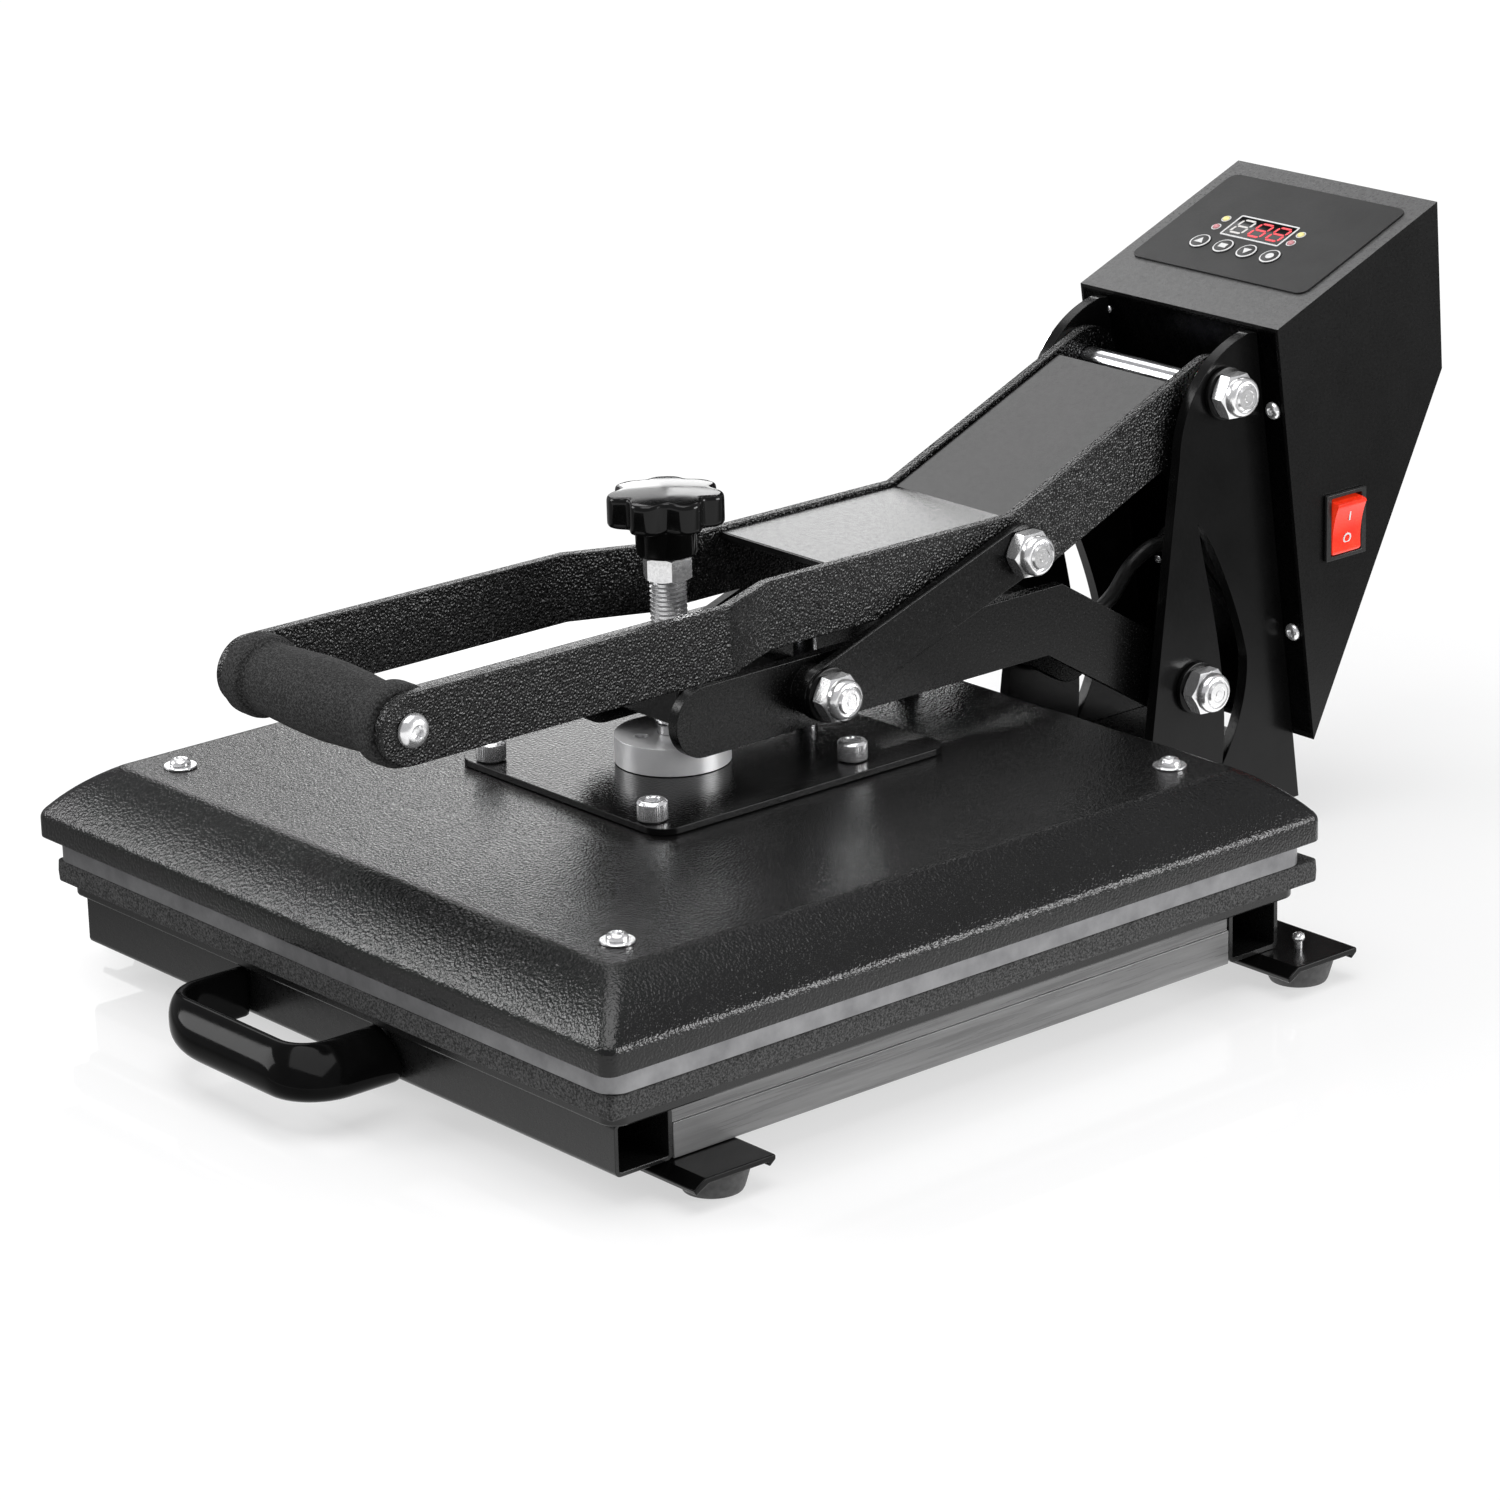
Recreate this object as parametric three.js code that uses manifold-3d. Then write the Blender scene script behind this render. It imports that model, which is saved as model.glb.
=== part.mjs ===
// A clamshell heat press with a 380 mm square heating plate, in millimetres, +Z up.
// The origin is on the floor under the middle of the whole press. The grip is at -Y, the
// control box at +Y, and +X is the right-hand side seen from the front.
// Inside the group, y is measured from the middle of the heating plate instead.
// Side views are drawn with y to the right and z up, and get their thickness along X.
import * as THREE from "three";
import { mergeVertices } from "three/addons/utils/BufferGeometryUtils.js";
import Module from "manifold-3d";

const wasm = await Module();
wasm.setup();

// ---- Driving dimensions ----
const GAP = 0.3; // between faces that touch
const FOOTPRINT_MIDDLE_Y = 87.8; // from the middle of the heating plate
const ROUND = 24; // sides of a small cylinder
const CURVE = 8; // steps in each drawn arc

// Heights of the stack, from the floor up
const FOOT_HEIGHT = 11;
const FOOT_BAR_THICK = 2.7;
const TUBE_HEIGHT = 22.9;
const BED_THICK = 5;
const PAD_THICK = 10;
const HEATER_THICK = 10;
const SKIRT_HEIGHT = 12;
const COVER_HEIGHT = 31.9;
const MOUNT_THICK = 3;
const BOSS_HEIGHT = 12;
const FOOT_BAR_Z = FOOT_HEIGHT + GAP;
const TUBE_Z = FOOT_BAR_Z + FOOT_BAR_THICK + GAP;
const BED_Z = TUBE_Z + TUBE_HEIGHT + GAP;
const PAD_Z = BED_Z + BED_THICK + GAP;
const HEATER_Z = PAD_Z + PAD_THICK + GAP;
const COVER_Z = HEATER_Z + HEATER_THICK + GAP;
const COVER_TOP = COVER_Z + COVER_HEIGHT;
const MOUNT_Z = COVER_TOP + GAP;
const BOSS_Z = MOUNT_Z + MOUNT_THICK + GAP;

// Base frame
const BASE_HALF_X = 180.6;
const BASE_FRONT_Y = -181.2;
const BASE_REAR_Y = 182.6;
const TUBE_WIDTH = 29;
const TUBE_WALL = 2;
const FOOT_BAR_HALF_X = 203.5;
const FRONT_BAR_Y = -138;
const REAR_BAR_Y = 189;
const FOOT_X = 187;
const BED_HALF_X = 186;
const BED_FRONT_Y = -186;
const BED_REAR_Y = 190;
const CHANNEL_HALF_X = 44.2; // the channel that carries the two uprights
const CHANNEL_END_Y = 330;

// Platen
const PLATE_HALF = 190;
const PAD_REAR_Y = 198;
const COVER_HALF = 195.3;
const COVER_TOP_HALF = 164.4;
const COVER_WALL = 2;
const MOUNT_HALF_X = 69;
const MOUNT_FRONT_Y = -63;
const MOUNT_REAR_Y = 98;
const SCREW_X = 54;
const SCREW_Y = 55;
const BOSS_RADIUS = 25;
const GUIDE_PIN_Y = 76;

// Pivots in the side view
const UPPER_PIVOT = new THREE.Vector2(280.9, 215.4); // lever on the uprights
const LOWER_PIVOT = new THREE.Vector2(263.4, 82.2); // lower arm on the uprights
const LINK_TOP = new THREE.Vector2(162.2, 166.2); // link on the lever
const LINK_FOOT = new THREE.Vector2(48.1, 127.4); // link on the lower arm
const BOLT_RADIUS = 6;
const BORE_RADIUS = BOLT_RADIUS + GAP;
const NUT_FLATS = 19;
const NUT_HEIGHT = 12;
const HEAD_HEIGHT = 7.2;
const BOLT_TAIL = 1.7;

// Layers of the linkage, as distances from the middle plane
const UPRIGHT_IN = 44.5;
const UPRIGHT_OUT = 50;
const LINK_IN = 41.3;
const LINK_OUT = 46;
const LEVER_IN = 35.8;
const LEVER_OUT = 40.8;
const LEVER_FRONT_OUT = 56;
const ARM_IN = 30;
const ARM_OUT = 35.5;

// Lower arm, link and lever
const ARM_HALF_DEPTH = 15.5;
const ARM_FRONT = new THREE.Vector2(-10.3, 126);
const ARM_KNEE = new THREE.Vector2(191.5, 126.5);
const LINK_HALF_DEPTH = 12;
const LEVER_HALF_DEPTH = 15;
const GRIP_AXIS = new THREE.Vector2(-177, 166.3);
const LEVER_SLOPE = THREE.MathUtils.degToRad(22.6);
const LEVER_END_RADIUS = 16.7;
const LEVER_TOP_KNEE = new THREE.Vector2(161, 181.3);
const LEVER_LOW_KNEE = new THREE.Vector2(176, 151.3);
const LEVER_END = new THREE.Vector2(281.7, 213.5);
const JOGGLE_FRONT_Y = -13;
const JOGGLE_REAR_Y = 22;

// Pressure spindle and its knob
const SPINDLE_Y = 1;
const SPINDLE_RADIUS = 8;
const SPINDLE_NECK_RADIUS = 6.2;
const SPINDLE_NECK_Z = 115;
const HEX_Z = 179;
const HEX_FLATS = 19;
const KNOB_Z = 189.9;
const KNOB_HUB_HEIGHT = 13.6;
const KNOB_STAR_HEIGHT = 13;
const KNOB_LOBES = 7;
const KNOB_RADIUS = 21.2;
const KNOB_LOBE_DEPTH = 2.3;
const KNOB_TURN = (-14.35 * Math.PI) / 180;

// Control box: corners of its side outline, clockwise from the top of its front face
const BOX_TOP_FRONT = new THREE.Vector2(301.6, 242.4);
const BOX_TOP_BACK = new THREE.Vector2(404.1, 283.2);
const BOX_BACK = new THREE.Vector2(409.1, 204.9);
const BOX_BOTTOM = new THREE.Vector2(327.2, 45.4);
const BOX_HALF_X = 62.8;
const SHEET = 1.5;
const BEZEL_Y = 345;
const BEZEL_Z = 144.5;
const ROCKER_TILT = THREE.MathUtils.degToRad(9);
const KEY_COUNT = 4;
const KEY_PITCH = 14.8;
const KEY_UP_SLOPE = 46;
const KEY_MIDDLE_X = -5.5;
const KEY_RADIUS = 5.2;

// ---- Materials ----
function finish(color, roughness, metalness = 0) {
  return new THREE.MeshStandardMaterial({ color, roughness, metalness });
}
const wrinklePaint = finish(0x1b1b1c, 0.6);
const satinPaint = finish(0x232325, 0.45);
const glossPaint = finish(0x101011, 0.2);
const zinc = finish(0xd2d4d6, 0.3, 1);
const castAluminium = finish(0x6a6b6e, 0.5, 0.6);
const rubber = finish(0x37373a, 0.85);
const silicone = finish(0x2a2a2b, 0.9);
const foam = finish(0x1e1e20, 0.95);
const nylon = finish(0xf0f0ee, 0.5);
const blackPlastic = finish(0x111112, 0.3);
const redPlastic = finish(0xd8141a, 0.25);
const wool = finish(0xd9d5c8, 0.95);

// ---- Drawing and solid helpers ----
const SIDE_VIEW = new THREE.Matrix4().makeBasis(
  new THREE.Vector3(0, 1, 0),
  new THREE.Vector3(0, 0, 1),
  new THREE.Vector3(1, 0, 0),
);
const FRONT_VIEW = new THREE.Matrix4().makeBasis(
  new THREE.Vector3(-1, 0, 0),
  new THREE.Vector3(0, 0, 1),
  new THREE.Vector3(0, 1, 0),
);

// A closed geometry as a manifold solid.
function solid(geometry) {
  const bare = new THREE.BufferGeometry();
  bare.setAttribute("position", geometry.getAttribute("position"));
  if (geometry.index) bare.setIndex(geometry.index);
  const merged = mergeVertices(bare, 1e-4);
  return new wasm.Manifold(
    new wasm.Mesh({
      numProp: 3,
      vertProperties: new Float32Array(merged.attributes.position.array),
      triVerts: new Uint32Array(merged.index.array),
    }),
  );
}

// A manifold solid as a geometry with flat faces.
function geometryOf(manifold) {
  const mesh = manifold.getMesh();
  const geometry = new THREE.BufferGeometry();
  geometry.setAttribute("position", new THREE.BufferAttribute(mesh.vertProperties, 3));
  geometry.setIndex(new THREE.BufferAttribute(mesh.triVerts, 1));
  const faceted = geometry.toNonIndexed();
  faceted.computeVertexNormals();
  return faceted;
}

// The first geometry with the others joined to it.
function join(first, ...others) {
  return geometryOf(others.reduce((sum, other) => sum.add(solid(other)), solid(first)));
}

// The first geometry with the others cut out of it.
function cut(first, ...others) {
  return geometryOf(others.reduce((rest, other) => rest.subtract(solid(other)), solid(first)));
}

function common(first, second) {
  return geometryOf(solid(first).intersect(solid(second)));
}

// A shape with thickness, from z = start to z = end of its own frame.
function slab(shape, start, end, curveSegments = CURVE) {
  const options = { depth: end - start, bevelEnabled: false, curveSegments };
  return new THREE.ExtrudeGeometry(shape, options).translate(0, 0, start);
}

// A side-view shape with thickness from x = start to x = end.
function sideSlab(shape, start, end, curveSegments) {
  return slab(shape, start, end, curveSegments).applyMatrix4(SIDE_VIEW);
}

function cylinder(radius, start, end, sides = ROUND) {
  const geometry = new THREE.CylinderGeometry(radius, radius, end - start, sides);
  return geometry.rotateX(Math.PI / 2).translate(0, 0, (start + end) / 2);
}

// A cylinder along X through a point of the side view.
function crossCylinder(radius, centre, start, end, sides) {
  return cylinder(radius, start, end, sides)
    .applyMatrix4(SIDE_VIEW)
    .translate(0, centre.x, centre.y);
}

function hexPrism(flats, start, end) {
  return cylinder(flats / Math.sqrt(3), start, end, 6);
}

function block(x0, x1, y0, y1, z0, z1) {
  const box = new THREE.BoxGeometry(x1 - x0, y1 - y0, z1 - z0);
  return box.translate((x0 + x1) / 2, (y0 + y1) / 2, (z0 + z1) / 2);
}

function roundedRect(x0, x1, y0, y1, radius) {
  const shape = new THREE.Shape();
  const quarter = Math.PI / 2;
  shape.absarc(x1 - radius, y1 - radius, radius, 0, quarter);
  shape.absarc(x0 + radius, y1 - radius, radius, quarter, 2 * quarter);
  shape.absarc(x0 + radius, y0 + radius, radius, 2 * quarter, 3 * quarter);
  shape.absarc(x1 - radius, y0 + radius, radius, 3 * quarter, 4 * quarter);
  return shape;
}

function circle(x, y, radius) {
  const path = new THREE.Path();
  path.absarc(x, y, radius, 0, 2 * Math.PI);
  return path;
}

function polygon(points) {
  return new THREE.Shape(points.map(([x, y]) => new THREE.Vector2(x, y)));
}

// Points beside a polyline, at a distance to its left, with mitred corners.
function beside(points, distance) {
  const left = points.slice(1).map((point, i) => {
    const along = point.clone().sub(points[i]).normalize();
    return new THREE.Vector2(-along.y, along.x);
  });
  return points.map((point, i) => {
    const before = left[Math.max(i - 1, 0)];
    const after = left[Math.min(i, left.length - 1)];
    const mitre = before.clone().add(after).divideScalar(1 + before.dot(after));
    return point.clone().addScaledVector(mitre, distance);
  });
}

// A strip of even thickness with square ends along a polyline.
function strip(points, thickness) {
  const right = beside(points, -thickness / 2);
  const left = beside(points, thickness / 2).reverse();
  return new THREE.Shape([...right, ...left]);
}

// A bar with round ends along a polyline.
function roundBar(points, half) {
  const last = points.length - 1;
  const start = points[1].clone().sub(points[0]).angle();
  const end = points[last].clone().sub(points[last - 1]).angle();
  const shape = new THREE.Shape();
  const quarter = Math.PI / 2;
  shape.absarc(points[0].x, points[0].y, half, start + quarter, start + 3 * quarter);
  beside(points, -half).slice(1, last).forEach((p) => shape.lineTo(p.x, p.y));
  shape.absarc(points[last].x, points[last].y, half, end - quarter, end + quarter);
  beside(points, half).slice(1, last).reverse().forEach((p) => shape.lineTo(p.x, p.y));
  return shape;
}

// A closed solid through rings of the same number of points, from the lowest to the highest.
function loft(rings) {
  const count = rings[0].length;
  const vertices = rings.flat().flatMap((p) => [p.x, p.y, p.z]);
  const faces = [];
  for (let ring = 0; ring < rings.length - 1; ring++) {
    for (let i = 0; i < count; i++) {
      const a = ring * count + i;
      const b = ring * count + ((i + 1) % count);
      faces.push(a, b, b + count, a, b + count, a + count);
    }
  }
  const top = (rings.length - 1) * count;
  for (let i = 1; i < count - 1; i++) {
    faces.push(0, i + 1, i);
    faces.push(top, top + i, top + i + 1);
  }
  const geometry = new THREE.BufferGeometry();
  geometry.setAttribute("position", new THREE.Float32BufferAttribute(vertices, 3));
  geometry.setIndex(faces);
  return geometry;
}

function squareRing(half, radius, z) {
  const outline = roundedRect(-half, half, -half, half, radius).getPoints(CURVE / 2);
  const open = outline.filter((p, i) => p.distanceTo(outline[(i + 1) % outline.length]) > 0.01);
  return open.map((p) => new THREE.Vector3(p.x, p.y, z));
}

// ---- Assembly helpers ----
const press = new THREE.Group();

function add(group, name, geometry, material) {
  const mesh = new THREE.Mesh(geometry, material);
  mesh.name = name;
  group.add(mesh);
  return mesh;
}

// The same piece on the left (-X) and the right (+X), from the geometry of the right one.
function addPair(group, name, geometry, material) {
  add(group, `${name}_right`, geometry, material);
  const flipped = geometryOf(solid(geometry).mirror([1, 0, 0]));
  add(group, `${name}_left`, flipped, material);
}

// ---- Base ----
function boxTube(width, height) {
  const shape = roundedRect(-width / 2, width / 2, -height / 2, height / 2, 2.8);
  const w = width / 2 - TUBE_WALL;
  const h = height / 2 - TUBE_WALL;
  shape.holes.push(roundedRect(-w, w, -h, h, 1));
  return shape;
}

function buildCrossTubes(base) {
  const tube = sideSlab(boxTube(TUBE_WIDTH, TUBE_HEIGHT), -BASE_HALF_X, BASE_HALF_X, 3);
  const middleZ = TUBE_Z + TUBE_HEIGHT / 2;
  const front = add(base, "front_cross_tube", tube, satinPaint);
  front.position.set(0, BASE_FRONT_Y + TUBE_WIDTH / 2, middleZ);
  const rear = add(base, "rear_cross_tube", tube, satinPaint);
  rear.position.set(0, BASE_REAR_Y - TUBE_WIDTH / 2, middleZ);
}

// Side rails are folded channels, open towards the middle, with a small ledge along the outside.
function buildSideRails(base) {
  const inner = BASE_HALF_X - TUBE_WIDTH;
  const ledgeZ = TUBE_Z + TUBE_HEIGHT * 0.66;
  const top = TUBE_Z + TUBE_HEIGHT;
  const profile = polygon([
    [inner, TUBE_Z],
    [BASE_HALF_X, TUBE_Z],
    [BASE_HALF_X, ledgeZ],
    [BASE_HALF_X - 0.8, ledgeZ],
    [BASE_HALF_X - 0.8, top],
    [inner, top],
    [inner, top - TUBE_WALL],
    [BASE_HALF_X - 0.8 - TUBE_WALL, top - TUBE_WALL],
    [BASE_HALF_X - 0.8 - TUBE_WALL, TUBE_Z + TUBE_WALL],
    [inner, TUBE_Z + TUBE_WALL],
  ]);
  const start = BASE_FRONT_Y + TUBE_WIDTH + GAP;
  const end = BASE_REAR_Y - TUBE_WIDTH - GAP;
  const left = slab(profile, start, end).applyMatrix4(FRONT_VIEW);
  add(base, "side_rail_left", left, satinPaint);
  const right = geometryOf(solid(left).mirror([1, 0, 0]));
  add(base, "side_rail_right", right, satinPaint);
}

// The channel behind the rear tube stands on its two legs' edges and carries the uprights.
function buildRearChannel(base) {
  const wall = 3;
  const top = TUBE_Z + TUBE_HEIGHT;
  const profile = polygon([
    [-CHANNEL_HALF_X, TUBE_Z],
    [-CHANNEL_HALF_X + wall, TUBE_Z],
    [-CHANNEL_HALF_X + wall, top - wall],
    [CHANNEL_HALF_X - wall, top - wall],
    [CHANNEL_HALF_X - wall, TUBE_Z],
    [CHANNEL_HALF_X, TUBE_Z],
    [CHANNEL_HALF_X, top],
    [-CHANNEL_HALF_X, top],
  ]);
  const channel = slab(profile, BASE_REAR_Y + GAP, CHANNEL_END_Y).applyMatrix4(FRONT_VIEW);
  add(base, "rear_channel", channel, satinPaint);
}

// A foot bar is a strip with a slanted lip along its front edge and a short hem along its rear.
function buildFootBars(base) {
  const profile = polygon([
    [-15.6, 0],
    [15.2, 0],
    [15.5, -2],
    [18.6, 0.4],
    [18.6, 2],
    [18, FOOT_BAR_THICK],
    [-17, FOOT_BAR_THICK],
    [-23, -1],
    [-22, -3.3],
  ]);
  const bar = sideSlab(profile, -FOOT_BAR_HALF_X, FOOT_BAR_HALF_X);
  add(base, "foot_bar_front", bar, satinPaint).position.set(0, FRONT_BAR_Y, FOOT_BAR_Z);
  add(base, "foot_bar_rear", bar, satinPaint).position.set(0, REAR_BAR_Y, FOOT_BAR_Z);
}

function buildFeet(base) {
  const profile = [
    [0, 0],
    [11.6, 0],
    [12.6, 1],
    [15.4, FOOT_HEIGHT - 0.6],
    [15, FOOT_HEIGHT],
    [0, FOOT_HEIGHT],
  ].map(([r, z]) => new THREE.Vector2(r, z));
  const foot = new THREE.LatheGeometry(profile, ROUND).rotateX(Math.PI / 2);
  for (const [row, y] of Object.entries({ front: FRONT_BAR_Y, rear: REAR_BAR_Y })) {
    for (const [side, x] of Object.entries({ left: -FOOT_X, right: FOOT_X })) {
      add(base, `rubber_foot_${row}_${side}`, foot, rubber).position.set(x, y, 0);
    }
  }
}

function buildBed(base) {
  const plate = roundedRect(-BED_HALF_X, BED_HALF_X, BED_FRONT_Y, BED_REAR_Y, 8);
  add(base, "bed_plate", slab(plate, BED_Z, BED_Z + BED_THICK, 5), satinPaint);
  const pad = roundedRect(-PLATE_HALF, PLATE_HALF, -PLATE_HALF, PAD_REAR_Y, 3);
  add(base, "silicone_pad", slab(pad, PAD_Z, PAD_Z + PAD_THICK, 4), silicone);
}

// One level of the carry handle: a D in plan, square against the tube and round in front.
function handleRing(left, right, front, leftRadius, rightRadius, z) {
  const back = BASE_FRONT_Y - GAP;
  const steps = 7;
  const corner = (x, y, radius, start) =>
    Array.from({ length: steps + 1 }, (_, i) => {
      const angle = start + ((Math.PI / 2) * i) / steps;
      return new THREE.Vector3(x + radius * Math.cos(angle), y + radius * Math.sin(angle), z);
    });
  return [
    new THREE.Vector3(right, back, z),
    new THREE.Vector3(left, back, z),
    ...corner(left + leftRadius, front + leftRadius, leftRadius, Math.PI),
    ...corner(right - rightRadius, front + rightRadius, rightRadius, 1.5 * Math.PI),
  ];
}

// A moulded D handle on the front tube: narrow along its top edge, fuller towards its foot.
function buildCarryHandle(base) {
  const body = loft([
    handleRing(-71, 46, -231.5, 42, 24, 14.4),
    handleRing(-74, 48.5, -233.5, 43, 25, 17),
    handleRing(-73, 46, -233.5, 40, 25, 21),
    handleRing(-69, 40, -230.5, 28, 24, 27),
    handleRing(-65, 36, -226.5, 19, 19, 33),
    handleRing(-63, 34, -224, 16, 16, 37),
  ]);
  const fingers = roundedRect(-58.5, 29.6, -220, BASE_FRONT_Y + 20, 13);
  add(base, "carry_handle", cut(body, slab(fingers, 5, 45)), glossPaint);
}

// ---- Uprights ----
// The front face of the control box leans back towards its foot; uprights butt against it.
function boxFaceY(z, inset = 0) {
  const share = (z - BOX_BOTTOM.y) / (BOX_TOP_FRONT.y - BOX_BOTTOM.y);
  return THREE.MathUtils.lerp(BOX_BOTTOM.x, BOX_TOP_FRONT.x, share) + inset;
}

function leafOpening() {
  const leaf = new THREE.Path();
  leaf.moveTo(265, 158);
  leaf.bezierCurveTo(274, 152, 292, 112, 296.5, 90);
  leaf.bezierCurveTo(298, 72, 290, 54, 281, 41);
  leaf.bezierCurveTo(287, 80, 271, 128, 265, 158);
  return leaf;
}

function buildUprights(base) {
  const arcCentre = new THREE.Vector2(306, 188.5);
  const arcRadius = 52;
  const topZ = 239;
  const back = -0.4;
  const shape = new THREE.Shape();
  shape.moveTo(229, TUBE_Z);
  shape.lineTo(boxFaceY(TUBE_Z, back), TUBE_Z);
  shape.lineTo(boxFaceY(topZ, back), topZ);
  shape.absarc(arcCentre.x, arcCentre.y, arcRadius, Math.PI * 0.56, Math.PI * 0.99);
  shape.lineTo(236.8, 62.5);
  shape.holes.push(circle(UPPER_PIVOT.x, UPPER_PIVOT.y, BORE_RADIUS));
  shape.holes.push(circle(LOWER_PIVOT.x, LOWER_PIVOT.y, BORE_RADIUS));
  shape.holes.push(leafOpening());
  const upright = sideSlab(shape, UPRIGHT_IN, UPRIGHT_OUT, 16);
  addPair(base, "upright", upright, satinPaint);
}

// ---- Fasteners ----
// A hexagon-headed bolt along X, with its head on the left outside face of a pair of plates.
function crossBolt(centre, outside) {
  const head = hexPrism(NUT_FLATS, -outside - GAP - HEAD_HEIGHT, -outside - GAP);
  const shank = cylinder(BOLT_RADIUS, -outside - GAP - 1, outside + GAP + NUT_HEIGHT + BOLT_TAIL);
  return join(head, shank).applyMatrix4(SIDE_VIEW).translate(0, centre.x, centre.y);
}

// A lock nut: hexagon below, round collar above with a rolled edge.
function lockNut(bore) {
  const hexHeight = NUT_HEIGHT * 0.68;
  const collar = [
    [0, hexHeight - 1],
    [NUT_FLATS / 2 - 0.4, hexHeight - 1],
    [NUT_FLATS / 2 - 0.4, NUT_HEIGHT - 2],
    [NUT_FLATS / 2 - 1.6, NUT_HEIGHT],
    [0, NUT_HEIGHT],
  ].map(([r, z]) => new THREE.Vector2(r, z));
  const ring = new THREE.LatheGeometry(collar, ROUND).rotateX(Math.PI / 2);
  const whole = join(hexPrism(NUT_FLATS, 0, hexHeight), ring);
  return bore ? cut(whole, cylinder(bore, -1, NUT_HEIGHT + 1)) : whole;
}

function crossNut(centre, outside) {
  const nut = lockNut(BORE_RADIUS).translate(0, 0, outside + GAP);
  return nut.applyMatrix4(SIDE_VIEW).translate(0, centre.x, centre.y);
}

function buildUprightBolts(base) {
  for (const [name, centre] of Object.entries({ upper: UPPER_PIVOT, lower: LOWER_PIVOT })) {
    add(base, `${name}_pivot_bolt`, crossBolt(centre, UPRIGHT_OUT), zinc);
    add(base, `${name}_pivot_nut`, crossNut(centre, UPRIGHT_OUT), zinc);
  }
  const washer = new THREE.Shape();
  washer.absarc(0, 0, 12.3, 0, 2 * Math.PI);
  washer.holes.push(circle(0, 0, BORE_RADIUS));
  const ring = sideSlab(washer, LEVER_OUT + GAP, UPRIGHT_IN - GAP, 14);
  addPair(base, "nylon_washer", ring.translate(0, UPPER_PIVOT.x, UPPER_PIVOT.y), nylon);
}

// ---- Control box ----
// The lid's plane: origin at its front edge, y up the slope, z out of the lid.
function lidGroup(box) {
  const lid = new THREE.Group();
  lid.position.set(0, BOX_TOP_FRONT.x, BOX_TOP_FRONT.y);
  lid.rotation.x = BOX_TOP_BACK.clone().sub(BOX_TOP_FRONT).angle();
  box.add(lid);
  return lid;
}

// The slanted wall below the back: origin at its middle, y up the wall, z out of the box.
function slantGroup(box) {
  const up = BOX_BACK.clone().sub(BOX_BOTTOM);
  const slant = new THREE.Group();
  const middle = BOX_BOTTOM.clone().lerp(BOX_BACK, 0.56);
  slant.position.set(0, middle.x, middle.y);
  slant.rotation.x = up.angle() + Math.PI;
  slant.rotation.y = 0;
  box.add(slant);
  return slant;
}

function keyCentres() {
  const first = KEY_MIDDLE_X - (KEY_PITCH * (KEY_COUNT - 1)) / 2;
  return Array.from({ length: KEY_COUNT }, (_, i) => first + i * KEY_PITCH);
}

function buildBoxCover(box, lid, slant) {
  const corners = [BOX_TOP_FRONT, BOX_TOP_BACK, BOX_BACK, BOX_BOTTOM];
  const outer = sideSlab(new THREE.Shape([...corners].reverse()), -BOX_HALF_X, BOX_HALF_X);
  const inside = beside(corners, -SHEET);
  const forward = new THREE.Vector2(-20, 0);
  inside[0].addScaledVector(BOX_TOP_BACK.clone().sub(BOX_TOP_FRONT).normalize(), -20);
  inside[3].addScaledVector(BOX_BOTTOM.clone().sub(BOX_BACK).normalize(), 20);
  inside.push(inside[3].clone().add(forward), inside[0].clone().add(forward));
  const hollow = sideSlab(new THREE.Shape([...inside].reverse()), SHEET - BOX_HALF_X, BOX_HALF_X - SHEET);
  const switchHole = block(BOX_HALF_X - 5, BOX_HALF_X + 5, BEZEL_Y - 11.4, BEZEL_Y + 11.4, BEZEL_Z - 14.9, BEZEL_Z + 14.9);
  const keyHoles = keyCentres().map((x) => {
    const hole = cylinder(KEY_RADIUS + 0.4, -4, 4, 20).translate(x, KEY_UP_SLOPE, 0);
    return hole.applyMatrix4(lid.matrixWorld);
  });
  const inletHole = block(-14.3, 14.3, -10.8, 10.8, -6, 6).applyMatrix4(slant.matrixWorld);
  const slots = [0, 1, 2, 3, 4].map((i) => {
    const z = 228 + i * 8;
    return block(-30, 30, BOX_TOP_BACK.x - 5, BOX_BACK.x + 5, z, z + 3);
  });
  const cover = cut(outer, hollow, switchHole, inletHole, ...keyHoles, ...slots);
  add(box, "box_cover", cover, satinPaint);
}

function buildBoxPanel(box) {
  const low = BOX_BOTTOM.y + 5.8;
  const high = BOX_TOP_FRONT.y - 2.4;
  const profile = polygon([
    [boxFaceY(low), low],
    [boxFaceY(low, SHEET), low],
    [boxFaceY(high, SHEET), high],
    [boxFaceY(high), high],
  ]);
  const halfX = BOX_HALF_X - SHEET - 0.4;
  const panel = sideSlab(profile, -halfX, halfX);
  const hole = cylinder(6.3, -12, 12, 20).rotateX(-Math.PI / 2);
  hole.translate(CABLE_X, boxFaceY(CABLE_Z), CABLE_Z);
  add(box, "box_front_panel", cut(panel, hole), satinPaint);
}

function buildControls(box, lid) {
  const fascia = roundedRect(-55, 55, 26, 99, 5);
  keyCentres().forEach((x) => fascia.holes.push(circle(x, KEY_UP_SLOPE, KEY_RADIUS + 0.4)));
  add(lid, "control_fascia", slab(fascia, GAP, GAP + 0.8, 5), blackPlastic);
  const names = ["key_up", "key_set", "key_down", "key_enter"];
  keyCentres().forEach((x, i) => {
    const key = add(lid, names[i], cylinder(KEY_RADIUS, -1, 1.3, 20), blackPlastic);
    key.position.set(x, KEY_UP_SLOPE, 0);
  });
}

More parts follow.
